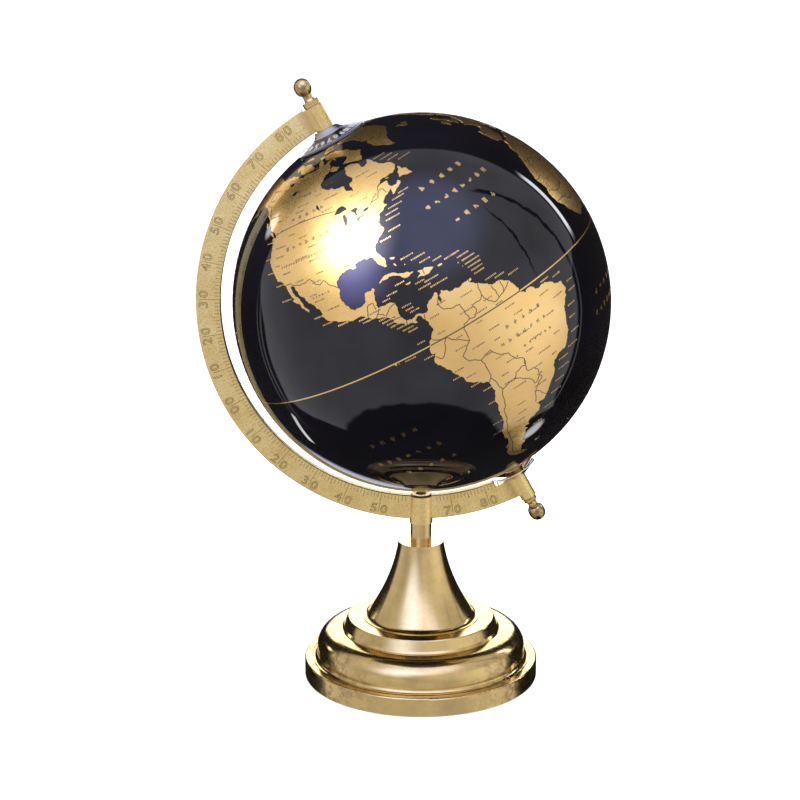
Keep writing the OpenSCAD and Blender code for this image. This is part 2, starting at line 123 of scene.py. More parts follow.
OLD_WORLD = """31.3,32.3 31.5,30.4 31,28.6 31.6,25.2 32.8,22 32.1,20.1 30.4,19.6 30.3,17.4 32.4,15.2
32.9,12.6 33.9,10.2 35.8,10.8 37.1,10.9 37.2,9.6 36.9,6.2 36.8,3 35.8,-0.6 35.2,-3 35.9,-5.5 34,-6.8
32.5,-9.2 30.4,-9.7 28,-12.5 26.2,-14.4 24,-15.8 21,-17 18,-16 14.7,-17.5 12.4,-16.8 10,-14.2 8.4,-13.3
6.6,-11.3 4.4,-7.6 5.1,-4 4.8,-2 5.8,0.6 6.3,3 5.6,5.2 4.3,6.2 4.6,8.6 3.6,9.7 1,9.4 -0.7,8.8 -3,10.2
-5,11.9 -8.8,13.2 -12.4,13.6 -15.8,11.8 -18.5,12.1 -22.5,14.4 -26.8,15.2 -30,17.1 -33,18 -34.3,18.5 -34.8,20
-34,24 -33.8,26.5 -31,30.2 -28.6,32.4 -25.9,32.8 -24,35.4 -20,34.9 -17,38.8 -14.8,40.7 -10.6,40.5 -6.6,39.3
-4,39.8 -1,42 2,45.4 5.4,48.6 10.5,51.2 11.9,51.2 11.2,48 10.5,44.5 11.6,43 12.8,43.2 15.2,39.8 18.2,38.4
20.6,37.2 23.8,35.6 27.2,33.8 29.8,32.5 27.8,34.2 29.5,35 27.6,35.6 24.2,37.6 21,39.1 17,42.3 12.7,43.5
13,45.4 14.4,48.8 15.8,52.2 17.2,55.3 19.8,57.8 22.5,59.8 24.2,56.6 26.3,56.3 25,55 24.2,52.4 26,51.2
26.4,50 28.6,48.4 30,48.2 29.6,50.2 27.8,51.4 26.6,54.6 27.1,56.6 25.6,57.8 25.2,61.5 25.2,66.5 23.6,68.2
22.3,69 21,70.6 21.6,72.4 19,72.8 15.5,73.8 12,75.2 8.1,77.5 9.4,79 10.4,79.9 13.1,80.3 15.7,80.9 17,82.3
19.8,86.2 21.6,88 22.4,91.2 20.6,92.5 18.4,94.4 16,94.3 16.8,96.8 14.2,98 10,98.6 7.8,98.4 5.5,100.4 3,101.3
1.4,103.6 3.5,103.4 6.4,101.6 8.5,100 11.5,99.6 13.4,100.4 12.4,102.4 10.6,103.6 8.6,104.8 10.5,107 13,109.3
16.2,108.3 18.8,105.8 20.6,107 21.6,108.6 20.3,110.2 21.8,112.6 22.9,115.4 25.4,119.4 28.4,121.6 30.8,121.8
33.8,120.4 36.2,120.6 37.2,122.4 37.6,119.2 39,117.8 40.6,121.6 39,121.4 40,124.2 38,125 36.4,126.5
34.4,126.5 35.4,129.3 38,128.6 40,127.6 42.3,130.6 43.2,132.2 46,138 49,140.4 52.6,141.4 54.4,137 56.6,138.4
59.4,143.4 59.2,150 61.6,157 62.4,163.6 60.2,163.4 60,161 57.4,156.8 51.4,156.7 53.6,160 56.2,162.8 60,166.2
60.2,170.4 62.4,178.6 64.6,178 64.2,186.6 66.1,190.2 67.6,184.5 69,179.4 69.8,170.8 69,163.2 71,157 72,141
73.4,128.5 73.6,118 73.6,110 76.6,106 77.7,104.2 76,96 75,86 73.4,80.6 71.4,78.6 68.6,73.6 72.6,71.6 71.4,67
69,66.4 68.6,60.6 68.2,54 67.4,46 65.2,40 64.2,36 66.6,33 66.6,40.8 69.2,33.6 71.1,26 69.4,17.6 67,14.2
64.4,10.8 62.2,5.2 59,5.6 58,7.2 59.4,10.6 57.4,12 55.5,13 56,15.8 58.8,17.6 60.6,17.4 63.6,19.8 65.8,22.6
64.4,24.4 62,21.4 60.2,22.8 60.6,28 59.6,28 59.3,23.6 57.2,24.3 57,21.6 54.8,20.2 54.4,16.6 53.9,13
54.4,10.4 56,10.2 57.6,10.6 56.8,8.2 53.9,8.8 53.2,5.4 51.4,3.5 50.9,1.6 49.6,0.2 49.6,-1.8 48.6,-2
48.4,-4.7 47.2,-2.2 46,-1.2 43.6,-1.5 43.5,-4 43.6,-8 42,-8.8 38.8,-9.4 37,-8.8 37,-6.6 36.1,-5.5 36.7,-3.5
37.7,-0.8 39.6,-0.2 41.4,2.2 42.6,3.1 43.4,4.6 43.1,6.2 44.3,8.7 42.4,11.2 40.8,14.2 38.2,15.7 39,17.1
40.4,16.8 40,18.4 41.6,15.9 43.6,13.5 45.4,12.3 45,14 43.4,16.2 42,19.2 40.4,19.4 38.4,21 36.5,22.6 38,23.9
40.2,22.8 40.8,25.8 39.4,26.4 38,26.6 36.7,28.2 36.2,30.4 36.7,31.6 36.1,33.6 36.8,35.8 34.6,36 32.8,35
31.3,34.3"""

OLD_WORLD_LAKES = [
    "41.2,29.1 42.6,27.7 44.2,28.8 46.3,30.8 45,33.2 44.6,34.6 45.3,37 43.6,39.8 41.6,41.5 41,38.5 42,35",
    "46.8,49.5 47,52 45,53 42.5,52.6 40.2,52.8 37,54 36.8,51 38.6,48.8 41,49 43.2,47.5 45.2,47",
    "0.2,32 0.3,34.2 -1.6,33.9 -2.6,32.8 -1.4,31.8",
    "51.6,104 53.4,109.2 55.6,109.9 53.6,107.4",
    "44.4,58.6 46.6,60.2 46,61.4 44.2,60.2",
    "-3.6,29.3 -8.6,31 -6.2,29.5",
    "61.8,30.6 59.9,32 60.6,33 61.4,31.8",
]

ISLANDS = [
    "59.9,-44 61,-48 63,-50.5 65.5,-53 67.5,-53.6 69.3,-51.2 70.6,-54.4 72.6,-55.4 75,-58 76.2,-66 76.6,-70"
    " 78,-72.5 79,-66 80.4,-65.5 82,-55 82.8,-42 83.5,-30 82,-20 80,-18 78,-19.5 76.5,-19.5 74.5,-20"
    " 72.5,-22.5 70.3,-23.5 69,-26 68,-31 66.2,-36 64.5,-40.5 62.5,-42.5",
    "61.9,-65.9 63.4,-64.6 65,-63.4 66.6,-61.4 68.2,-66 70.2,-68 71.6,-73 73.5,-78 73.7,-84 73.2,-89"
    " 71.2,-89.6 70.3,-86.8 69.8,-80.6 69,-77.6 67.6,-73.4 65.8,-73.8 64.4,-77.8 63.6,-74.4 62.6,-70.2",
    "69,-102 68.8,-107 69.2,-113.4 70.6,-117.2 72.8,-117.8 73.2,-111.5 72.9,-105.4 71.3,-104.4 70,-101.4",
    "71.2,-122.6 72.9,-125.4 74.3,-121.6 73.5,-116.2 72,-119.4",
    "76.4,-80 76.6,-89.6 79,-87 80.6,-90 81.6,-90.5 83.1,-72 82,-62 80.4,-68 78.5,-75",
    "74.7,-80 75.6,-79.4 76.4,-90.6 74.8,-91.6",
    "78.4,-90 79.6,-88.4 81.2,-94 79.4,-96",
    "62.9,-83 64,-80.6 65.8,-84.8 64,-87.2",
    "72,-95 72.8,-90 74,-91 73.8,-97",
    "74.8,-106 75.2,-117 76.6,-114 76,-106",
    "69,-97.6 69.8,-98.4 68.8,-100",
    "47.6,-59.2 49.6,-57.9 51.5,-55.6 49.8,-55.4 49.3,-53.6 46.7,-53.2 46.9,-55.8 47.6,-57.6",
    "49.2,-61.8 49.8,-64.4 49.4,-63.4",
    "40.6,-73.9 40.9,-72 41.1,-72.6",
    "48.4,-123.5 50,-125.3 50.8,-128.3 49.2,-126",
    "52.2,-131.2 53.9,-131.8 54,-133 52.8,-132.2",
    "56.8,-154.2 57.6,-152.4 58.2,-152.8 57.6,-154.6",
    "53.4,-168.6 54,-166.4 53.6,-167.4",
    "52.2,-174.4 52.6,-172.6 52.4,-174",
    "21.9,-84.9 22.9,-83.2 23.1,-81.5 22.4,-79 21.2,-76 20.3,-74.2 19.9,-77.5 21.2,-78.4 22,-82",
    "19.8,-73.2 19.9,-70.8 18.6,-68.4 17.8,-71.2 18.1,-74.2 18.9,-72.7",
    "18.4,-78.2 18.4,-76.4 17.9,-76.6 17.9,-77.8",
    "18.5,-67.2 18.4,-65.7 18,-65.9 18,-67.1",
    "26.9,-78.6 26.5,-77 26.2,-77.2 26.5,-78.4",
    "25.1,-78.2 24.4,-77.7 23.9,-77.9 24.6,-78.4",
    "23.6,-75.4 22.8,-74.9 23.1,-75.6",
    "16.4,-61.6 16,-61.4 15.9,-61.8",
    "14.9,-61.1 14.5,-60.9 14.5,-61.1",
    "10.8,-61 10.1,-61 10.1,-61.8 10.7,-61.6",
    "0.2,-91.4 -0.3,-90.9 -0.9,-91.2 -0.4,-91.6",
    "-0.4,-90.4 -0.8,-90.2 -0.7,-90.5",
    "-51.3,-60.9 -51.5,-58 -52.2,-58.8 -52,-60.8",
    "-54.2,-37.8 -54.5,-36 -54.9,-36.4",
    "20.2,-155.9 19.5,-154.9 18.9,-155.7 19.7,-156",
    "21,-156.6 20.7,-156.1 20.8,-156.7",
    "21.7,-158 21.3,-157.7 21.3,-158.1",
    "66.1,-24.2 66.3,-22.5 65.7,-20.4 66.2,-16 65,-13.6 63.5,-18.8 63.9,-22.6 64.9,-22.4",
    "50.1,-5.6 51.4,-3.2 52,-5.1 53.3,-4.4 54.6,-3.4 55,-5 57,-5.8 58.5,-5 58.6,-3.1 57.6,-2 56,-3 54.6,-1"
    " 52.9,0.3 52.6,1.7 51.2,1.4 50.7,-1.5 50.2,-3.7",
    "51.5,-9.6 54.2,-10 55.3,-7.4 54.4,-5.6 52.2,-6.4",
    "76.6,16.6 78.2,13.4 79.8,11.4 80.2,18.6 78.4,21.6",
    "70.8,57.4 72.4,52.2 74.6,56 76.9,68.2 75.4,62 73.4,57.6",
    "38,12.6 38.2,15.6 36.7,15.1 37.4,13",
    "39,8.4 41.2,9.2 40.2,9.8 39.2,9.4",
    "41.5,9.2 42.9,9.4 42.4,8.7",
    "35.4,23.6 35.3,26.2 35,24.8",
    "34.8,32.4 35.6,34.4 34.8,33.6",
    "-12.2,49.3 -15.6,50.4 -19.6,48.8 -25,47 -25.3,44.4 -21.8,43.4 -17,44.2 -15.6,46.6",
    "9.7,80.1 8.4,81.3 6.2,81.2 6.4,80 8,79.8",
    "5.5,95.4 3.6,98.6 0.4,103 -2.4,105.8 -5.7,105.8 -4,102.2 -0.4,100 2.4,97.8",
    "-6.2,105.6 -6.6,110.8 -7.6,114.4 -8.6,114.2 -7.8,109 -6.9,106.4",
    "-8.3,116 -8.5,118.8 -8.4,122.8 -8.9,120.4 -9,117",
    "1.8,109.2 3,113 6.9,116.8 4.4,118.4 1,118.8 -1.6,116.4 -4,114.6 -3,110.4 -0.6,109.4",
    "1.2,119.8 1.4,124.8 0.4,123.6 0.4,120.6 -0.8,121.4 -1,123.2 -2.4,121.8 -5.4,122.6 -3.2,121.2 -5.5,120"
    " -2.8,118.9",
    "-0.5,130.6 -2.6,134.6 -1.6,138 -3.6,143.6 -6,147 -10.4,150.6 -7.8,144.6 -8.4,138.2 -5.2,137.6"
    " -3.6,132.8",
    "-4.2,152 -5.4,148.6 -6.2,149.6",
    "18.5,120.8 18.2,122.2 14.2,122.8 12.6,124 13.8,120.8 16.2,119.9",
    "9.6,125.5 7.2,126.5 5.8,125.2 7.2,122.2 8.6,123.6",
    "11.4,125 10.4,123.2 11.6,122",
    "20,109.6 19.6,110.9 18.3,109.8 19,108.7",
    "25.2,121.5 22,120.8 23.4,120.2",
    "33.9,131 35.6,135.4 37.4,137.4 40.6,139.8 41.4,141.4 38.2,141.4 35.4,140.6 34.4,136.6 33.6,135.6",
    "33.8,130.4 33.2,131.8 31.2,130.8 32.6,129.8",
    "34.2,134.2 33.2,134 32.9,132.8 33.8,132.6",
    "45.4,141.8 43.4,145.4 42,143.2 41.6,140.2 43.2,140.6",
    "54.2,142.6 49.8,144.4 46.2,143.4 49,142.1 52.4,141.9",
    "-10.8,142.5 -14.4,143.8 -16.8,145.8 -20,148.6 -24.6,152.8 -28.6,153.6 -32.8,152.2 -37.6,150 -39,146.4"
    " -38.4,141.2 -35.6,138.2 -33,137.8 -34.8,135.6 -32,133 -31.6,129 -34,123.4 -35,117.8 -34.2,115.1"
    " -31.8,115.7 -26.4,113.4 -22.2,113.9 -20.2,118.6 -17.4,122.2 -14.2,126.4 -15,129.6 -12.2,131 -12,136.6"
    " -15,135.6 -17.6,140.4 -14,141.6",
    "-40.8,144.8 -41,148.2 -43.5,146.8 -42.4,145.3",
    "-34.4,172.8 -36.8,175.6 -37.7,178.4 -39.4,177 -41.5,175.2 -39.4,173.8 -37.4,174.8",
    "-40.6,172.8 -41.8,174.2 -43.8,172.8 -46.6,169.4 -46,166.6 -43,170.6",
    "-20.4,164.2 -22.2,167 -21.4,165.2",
    "-17.6,177.4 -18.2,178.6 -18.1,177.4",
    "-46.6,168.2 -47.2,167.6 -46.9,168.1",
    "-49,69 -49.4,70.4 -49.7,69.2",
]

ANTARCTICA = """-63.3,-57 -64.4,-62 -66.5,-65.5 -70,-68 -73,-75 -73.5,-90 -73.8,-103 -75,-115 -76.5,-135
-77.5,-155 -78.3,-165 -78.4,180 -77.5,166 -72.5,170.5 -69,158 -67,145 -66.2,130 -66.2,110 -66.8,92 -69.5,76
-67.2,60 -67,50 -69,38 -70,20 -70.5,0 -72.5,-15 -76,-28 -78,-36 -77.6,-50 -74.5,-61 -70,-62 -66,-61"""

# The round hole that the foil leaves for the south bushing
BUSH_CLEAR_LAT = -87
BUSH_CLEAR_SIDES = 36

BORDERS = [
    "49,-123 49,-95.2 48.6,-93 48,-89.6",
    "45,-74.8 45,-71.5 47.3,-69.2 47.1,-67.8 45.2,-67.3",
    "44.2,-76.3 45.2,-74.2 46,-73 46.8,-71.2",
    "69.6,-141 60.3,-141 59.8,-135.5 56.6,-131.8 55,-130",
    "32.5,-117.1 32.7,-114.7 31.3,-111.1 31.3,-108.2 31.8,-106.5 29.6,-104.5 29,-103 29.8,-101.5 27.5,-99.5"
    " 25.9,-97.2",
    "14.6,-92.2 16.1,-91.6 17.8,-90.9 17.8,-89.1 15.9,-89.1",
    "15.7,-88.4 14.4,-89.3 13.8,-90.1",
    "14.4,-89.3 13.9,-87.9 13.3,-87.6",
    "13,-87.3 13.9,-86 15,-83.3",
    "11.1,-85.7 10.9,-83.8",
    "9.5,-82.6 8.1,-82.9",
    "8.6,-77.4 7.2,-77.9",
    "11.9,-71.3 9,-72.8 7.1,-72 6.1,-69.4 6.1,-67.5 3,-67.4 1.2,-66.9",
    "1.2,-66.9 0.8,-65.5 2.4,-64 4.2,-64.6 4.2,-61.5 5.2,-60.7",
    "8.4,-59.9 7,-60.5 5.2,-60.7 2.8,-59.8 1.4,-58.4 1.9,-56.5 2.4,-54.6 4.1,-51.7",
    "5.9,-57.1 1.9,-56.5",
    "5.7,-54 2.4,-54.6",
    "1.2,-66.9 0.6,-69.2 -0.5,-69.8 -4.2,-69.9 -2.3,-72.9 -0.1,-75.3 0.4,-77.5 1.4,-78.9",
    "-0.1,-75.3 -3,-77 -4.9,-79 -3.4,-80.3",
    "-4.2,-69.9 -7.3,-73.8 -9.5,-72.6 -10,-71 -11,-69.6",
    "-11,-69.6 -9.8,-66 -12,-64.5 -13.5,-61.5 -16.3,-60.1 -17.8,-57.7 -19.8,-58",
    "-11,-69.6 -14.5,-69.2 -16.5,-69 -17.5,-69.5 -18.3,-70.4",
    "-17.5,-69.5 -19.5,-68.5 -22.8,-67.5 -24.5,-68.4 -27,-68.5 -30,-70 -33,-70 -36,-70.8 -40,-71.8"
    " -44,-71.6 -47.5,-72.4 -50.5,-73.2 -52,-71.5 -52.3,-68.5",
    "-52.7,-68.6 -54.9,-68.6",
    "-22.8,-67.5 -22,-64.6 -22,-62.7 -20.2,-61.8 -19.6,-59 -20.2,-58.1",
    "-22,-62.7 -25.3,-57.7 -27.4,-57 -27.2,-55.9 -25.6,-54.6 -24,-54.4 -22.2,-56 -22.1,-57.9 -20.2,-58.1"
    " -17.8,-57.7",
    "-25.6,-54.6 -26.6,-53.7 -28,-55.6 -30.2,-57.6 -34,-58.3",
    "-30.2,-57.6 -31,-55.8 -33.7,-53.5",
    "19.7,-71.7 18.1,-71.8",
    "31.6,25.1 22,25 22,36.8",
    "22,25 19.5,24 23.4,15 23.5,12 19,3.2 21,1 27.3,-8.7 27.7,-13.1",
    "33.2,11.5 30.2,9.3 26,9.4 23.5,12",
    "35,-2.2 32.1,-1.2 30.5,-5.5 28.7,-8.7 27.3,-8.7",
    "27.3,-8.7 25,-12 21.3,-13 21.3,-17",
    "15,-12.2 15.5,-5.5 25,-4.8",
    "16.5,-16.4 15,-12.2 12.4,-11.4 12.4,-13.7 12.6,-16.6",
    "12.4,-11.4 10.2,-8 10.4,-4.8 15,-0.4 15.4,3.6",
    "11.2,0.9 11.7,3.6 13.5,4.1 13.6,13.2 7,13.4 4.6,8.8",
    "19.5,24 15.8,23.9 11,22.9 8,19 7.5,15.5 13.1,14.1",
    "9,24 4.8,29.4 4.2,30.9 4.6,35.9 8,33.2 12.8,36.2 18,38.4",
    "4.6,35.9 3.5,39.5 4.2,41.9 8,47.9 11,42.9",
    "4.2,41.9 -1.7,41.6",
    "-4.7,39.2 -1,33.9 4.2,34",
    "-5.9,12.4 -5.9,16.8 -7,21.8 -11,24 -13,24 -17.6,23.3 -17.4,14",
    "-8.3,30.8 -9.2,33 -11.6,34.6 -11,40.4",
    "-17.9,25.3 -22,29.4 -26.8,32.1",
    "-28.6,16.5 -28.4,20 -24.8,20 -22,20 -18.3,21",
    "-24.8,20 -25.8,25.6 -22.2,29.3",
    "43.4,-1.8 42.7,0.7 42.4,3.1",
    "41.9,-8.8 41.7,-6.3 37.2,-7.4",
    "51.1,2.5 49.5,6 47.6,7.6 46.2,6.2 43.8,7.5",
    "53.3,7 51.8,6 49.5,6",
    "53.9,14.2 51,15 50.2,12.2 48.8,13.8 47.6,13 47.6,7.6",
    "51,15 49,19 49,22.6 52.2,23.6 54.4,22.8 54.4,19.8",
    "45.6,13.6 46.5,16.4 45.9,18.8 44.6,21.4 41,22.8",
    "49,22.6 48.2,24.6 45.4,28.2",
    "59.4,28 56,28.2 52.2,31.6 50.2,38 47.2,38.2",
    "68.6,28.6 63,31.4 60.6,28.2",
    "58.9,11.5 63,12.2 68.4,18 69.1,20.6 65.8,24.1",
    "46.6,49 50.8,50 51,60 55,70 50.2,80.2 49.2,87.4 52,98.8 49.8,107 49.6,116.6 53.4,121.4 48.4,132"
    " 45.2,133 42.6,130.7",
    "49.2,87.4 45.2,90.8 42.6,96.4 42.6,108 46.6,118 49.6,116.6",
    "49.2,87.4 45.2,82.4 40.4,74.8 37,74.8 35.6,78 30.4,81 27.9,88.8 28.2,97 21.6,101.4 22.4,106.6",
    "41.5,41.5 39.6,44.6 37.2,44.6 33.2,46 30.2,48.3",
    "37.2,44.6 36.8,36.2",
    "32.8,35.9 32.3,39 29.2,46.4 29,48",
    "29.4,35 32.3,39",
    "17.2,43.2 18.6,52 16.7,53.1",
    "37.3,54.4 38,58 35.4,61.2 31.4,61.7 25.4,61.6",
    "35.4,61.2 37.4,66.6 37,74.8 34.4,71 29.6,66.2 29.8,61.2",
    "35.6,78 32.6,74.6 28,70 24.4,68.8",
    "26.4,89 24.8,91.8 22,92.4 24,94.2 28.2,97",
    "21.6,101.4 19.8,100.2 14.6,98.6",
    "19.8,100.2 18,104 14.4,105.6 11,106.2",
    "4.1,117.6 1.2,112 1.6,109.8",
    "-2.6,141 -9.2,141",
]

# How the borders begin that run dead straight, as surveyed lines do
SURVEYED = ("49,", "69.6,")

# Where the equator's line crosses land, and is printed in ink
EQUATOR_ON_LAND = [(-80.1, -50), (9.4, 42.8), (99.8, 103.6), (109.2, 117.6)]

# Place names stay out. Rows of short unreadable dashes stand for them: latitude, longitude and letters
SEA_MARKS = [
    (25, -75.6, 8), (23.4, -73, 9), (21.6, -71.2, 7), (20.2, -67.6, 6), (18.9, -64.4, 10), (17.4, -61, 8),
    (16, -60.2, 9), (14.7, -60, 10), (13.5, -59.8, 9), (12.3, -59.4, 8), (11.1, -59.2, 7), (17, -75.4, 6),
    (16.2, -72.8, 9), (15.2, -75.4, 8), (14.2, -72, 11), (19.3, -80.8, 6), (17.8, -84.4, 7), (16.9, -86.2, 5),
    (13, -82, 6), (11.8, -81.4, 5), (10.8, -80.6, 6), (12.6, -89.6, 9), (11.6, -89, 10), (10.6, -88, 8),
    (9.6, -87.4, 9), (8.4, -86, 8), (7.2, -84.8, 7), (6.2, -83.6, 6), (15, -95, 8), (14, -94.2, 11),
    (16.2, -101.6, 7), (18, -106.4, 7), (20.6, -108.4, 6), (32.4, -78.6, 7), (34, -74.6, 8), (37.2, -73.4, 9),
    (38.8, -72.4, 8), (40.2, -70.4, 9), (42, -67.4, 8), (43, -63.8, 7), (53.4, -52.2, 9), (55.4, -56.4, 8),
    (57.2, -58.8, 9), (59, -61, 8), (8, -57.4, 8), (7, -54.6, 7), (5.6, -50.6, 8), (-1.6, -42.4, 7),
    (-2.6, -37.6, 7), (-6.4, -33.2, 6), (-9, -33.8, 7), (-12.6, -36.4, 7), (-16, -37.2, 6), (-20.2, -38, 8),
    (-23.8, -40.8, 9), (-25.6, -45.6, 8), (-28.4, -46.6, 9), (-31.6, -48.6, 7), (-34.8, -51.2, 8),
    (-38.6, -55.4, 8), (-42.6, -61.2, 7), (-12.2, -79.2, 5), (-16.8, -75.6, 6), (-20, -73, 7),
    (-25, -73.4, 6), (-33, -75.2, 9), (-37, -76.6, 8), (-2.8, -83.4, 6), (-0.8, -88.4, 7), (2, -83, 5),
    (28.4, -119.6, 8), (33.2, -121.4, 7), (37.6, -125.8, 7), (42, -127.6, 6), (47, -128, 6),
]

# Wide-spaced rows for oceans and lands: latitude, longitude, letters, degrees between them, height in mm
OCEAN_ROWS = [
    (40.2, -55.7, 5, 4.8, 2.9), (34, -58.9, 8, 3.9, 2.9), (26.6, -53.6, 5, 4.05, 2.9),
    (-21.4, -113.7, 5, 4.05, 2.9), (-29.6, -118, 7, 4, 2.9), (-37, -112.3, 5, 4.8, 2.9),
    (-16, -20, 5, 4.4, 2.9), (-22, -22, 8, 3.8, 2.9), (-24, 80, 6, 4.4, 2.9),
    (-30, 80, 5, 4.6, 2.9), (24, 165, 5, 4.6, 2.9), (17, 168, 7, 4.4, 2.9),
]
LAND_ROWS = [
    (59, -105.8, 6, 3.6, 1.4), (51.9, -112.1, 5, 4.1, 2.2), (43, -114.7, 7, 3.2, 2.2),
    (38.2, -118, 21, 1.2, 1.3), (26.2, -106.7, 6, 1.15, 1.1), (-6.6, -58.5, 5, 2.9, 2.2),
    (-10.4, -62, 7, 2.6, 2.2), (-14.4, -55.9, 6, 2, 1.5), (18, 6, 6, 4.6, 2.2),
    (50, 75, 4, 6, 2.6), (-25, 124, 9, 2.8, 2), (49, 18, 6, 3.4, 1.8),
]

# ---------------------------------------------------------------- places on the ball and on the arm


def ball_direction(lat, lon):
    """Unit vector from the ball's centre to a place on its map."""
    a = math.radians(lat)
    o = math.radians(lon - MAP_TURN)
    return math.cos(a) * (math.cos(o) * ACROSS + math.sin(o) * SIDE) + math.sin(a) * NORTH


def places(text):
    """The directions that an outline written as latitude,longitude pairs goes through."""
    pairs = [pair.split(",") for pair in text.split()]
    return [ball_direction(float(lat), float(lon)) for lat, lon in pairs]


def outward_on_arm(lat):
    """Unit vector from the ball's centre to a latitude on the arm."""
    a = math.radians(lat)
    return math.sin(a) * NORTH - math.cos(a) * ACROSS


def arm_spot(lat, radius, front):
    """A point on the arm's front or back face at a latitude and a distance from the ball's centre."""
    return CENTRE + radius * outward_on_arm(lat) + front * ARM_HALF * SIDE


def arm_blade():
    """Half thickness, inner and outer radius of the arm's blade, read off its mesh clear of the bosses."""
    clear_lat = 40.0
    found = []
    for v in NODES["meridian_arm"].data.vertices:
        p = v.co - CENTRE
        if abs(math.degrees(math.asin(p.normalized().dot(NORTH)))) < clear_lat:
            found.append((abs(p.y), Vector((p.x, 0, p.z)).length))
    return max(y for y, r in found), min(r for y, r in found), max(r for y, r in found)


ARM_HALF, ARM_IN, ARM_OUT = arm_blade()

# ---------------------------------------------------------------- mesh helpers


class Pieces:
    """Vertices and faces of one piece, gathered from many small closed solids."""

    def __init__(self):
        self.verts = []
        self.faces = []

    def add(self, verts, faces):
        start = len(self.verts)
        self.verts += [tuple(v) for v in verts]
        self.faces += [tuple(start + i for i in face) for face in faces]

    def tube(self, rings, closed=False):
        """A closed solid through rings of equally many points."""
        n = len(rings[0])
        faces = []
        for k in range(len(rings) if closed else len(rings) - 1):
            a = k * n
            b = (k + 1) % len(rings) * n
            faces += [(a + i, a + (i + 1) % n, b + (i + 1) % n, b + i) for i in range(n)]
        if not closed:
            last = (len(rings) - 1) * n
            faces.append(tuple(reversed(range(n))))
            faces.append(tuple(range(last, last + n)))
        self.add([p for ring in rings for p in ring], faces)

    def block(self, middle, along, across, out):
        """A small box from its middle and three half extents."""
        corners = [(-1, -1), (1, -1), (1, 1), (-1, 1)]
        self.tube([[middle + s * out + x * along + y * across for x, y in corners] for s in (-1, 1)])

    def build(self, name, body, material, smooth=False):
        mesh = bpy.data.meshes.new(name)
        mesh.from_pydata(self.verts, [], self.faces)
        mesh.materials.append(material)
        for polygon in mesh.polygons:
            polygon.use_smooth = smooth
        return place(bpy.data.objects.new(name, mesh), body)


def place(piece, body):
    """Puts a new piece in the scene, on its body."""
    bpy.context.scene.collection.objects.link(piece)
    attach(piece, body)
    return piece


def line_on_ball(pieces, directions, width, low, top):
    """A printed line of even width along directions from the ball's centre."""
    rings = []
    for k, p in enumerate(directions):
        ahead = directions[min(k + 1, len(directions) - 1)] - directions[max(k - 1, 0)]
        side = p.cross(ahead).normalized() * width / 2
        foot = CENTRE + p * (BALL_R + low)
        head = CENTRE + p * (BALL_R + top)
        rings.append([foot - side, foot + side, head + side, head - side])
    pieces.tube(rings)


def mark_on_ball(pieces, lat, lon, width, height, low, top):
    """One short printed dash, upright on its parallel of latitude."""
    out = ball_direction(lat, lon)
    east = NORTH.cross(out).normalized()
    middle = CENTRE + out * (BALL_R + (low + top) / 2)
    pieces.block(middle, east * width / 2, out.cross(east) * height / 2, out * (top - low) / 2)


# ---------------------------------------------------------------- printed land

PRINTED = []

# Longest straight stretch of a coast and the foil's grid, in radians; sway as a share of a stretch
COAST_STEP = 0.010
FOIL_GRID = 0.036
COAST_WOBBLE = 0.17
BORDER_WOBBLE = 0.10

# Widths of the printed lines
EQUATOR_W = 0.62 * MM
EQUATOR_INK_W = 0.6 * MM
BORDER_W = 0.42 * MM


def wander(a, b, wobble, rng):
    """Directions from a up to b, b left out, with a natural wobble that is the same each run."""
    gap = b - a
    if gap.length < COAST_STEP:
        return [a]
    middle = (a + b) / 2
    sway = middle.cross(gap).normalized() * gap.length * wobble * rng.uniform(-1, 1)
    middle = (middle + sway).normalized()
    return wander(a, middle, wobble, rng) + wander(middle, b, wobble, rng)


def coast(directions, wobble, rng):
    """A closed outline with its wobble."""
    ends = directions[1:] + directions[:1]
    return [p for a, b in zip(directions, ends) for p in wander(a, b, wobble, rng)]


class FlatMap:
    """Equidistant flat map round a middle direction, for cutting a land's outline into triangles."""

    def __init__(self, directions):
        middle = sum(directions, Vector((0, 0, 0))).normalized()
        helper = NORTH if abs(middle.dot(NORTH)) < 0.9 else ACROSS
        self.middle = np.array(middle)
        self.east = np.array(middle.cross(helper).normalized())
        self.north = np.cross(self.middle, self.east)

    def flatten(self, directions):
        """Directions as points on the map."""
        p = np.array([tuple(d) for d in directions])
        x, y = p @ self.east, p @ self.north
        angle = np.arccos(np.clip(p @ self.middle, -1, 1))
        scale = angle / np.maximum(np.hypot(x, y), 1e-12)
        return np.stack([x * scale, y * scale], axis=1)

    def lift(self, flat):
        """Points on the map as directions again."""
        angle = np.hypot(flat[:, 0], flat[:, 1])
        scale = np.sin(angle) / np.maximum(angle, 1e-12)
        across = np.outer(flat[:, 0] * scale, self.east) + np.outer(flat[:, 1] * scale, self.north)
        return across + np.outer(np.cos(angle), self.middle)


def inside(points, loops):
    """For each flat point, whether it lies inside an odd number of the closed loops."""
    odd = np.zeros(len(points), bool)
    x, y = points[:, 0], points[:, 1]
    for loop in loops:
        ends = np.roll(loop, -1, axis=0)
        for (x1, y1), (x2, y2) in zip(loop, ends):
            if y1 != y2:
                crosses = (y1 > y) != (y2 > y)
                odd ^= crosses & (x < x1 + (y - y1) * (x2 - x1) / (y2 - y1))
    return odd


def grid_inside(loops):
    """A triangular grid of flat points inside the loops."""
    every = np.concatenate(loops)
    low, high = every.min(0), every.max(0)
    row_step = FOIL_GRID * math.sqrt(3) / 2
    rows = np.arange(low[1], high[1], row_step)
    grid = [
        (x + FOIL_GRID / 2 * (k % 2), y)
        for k, y in enumerate(rows)
        for x in np.arange(low[0], high[0], FOIL_GRID)
    ]
    if not grid:
        return []
    grid = np.array(grid)
    return list(grid[inside(grid, loops)])


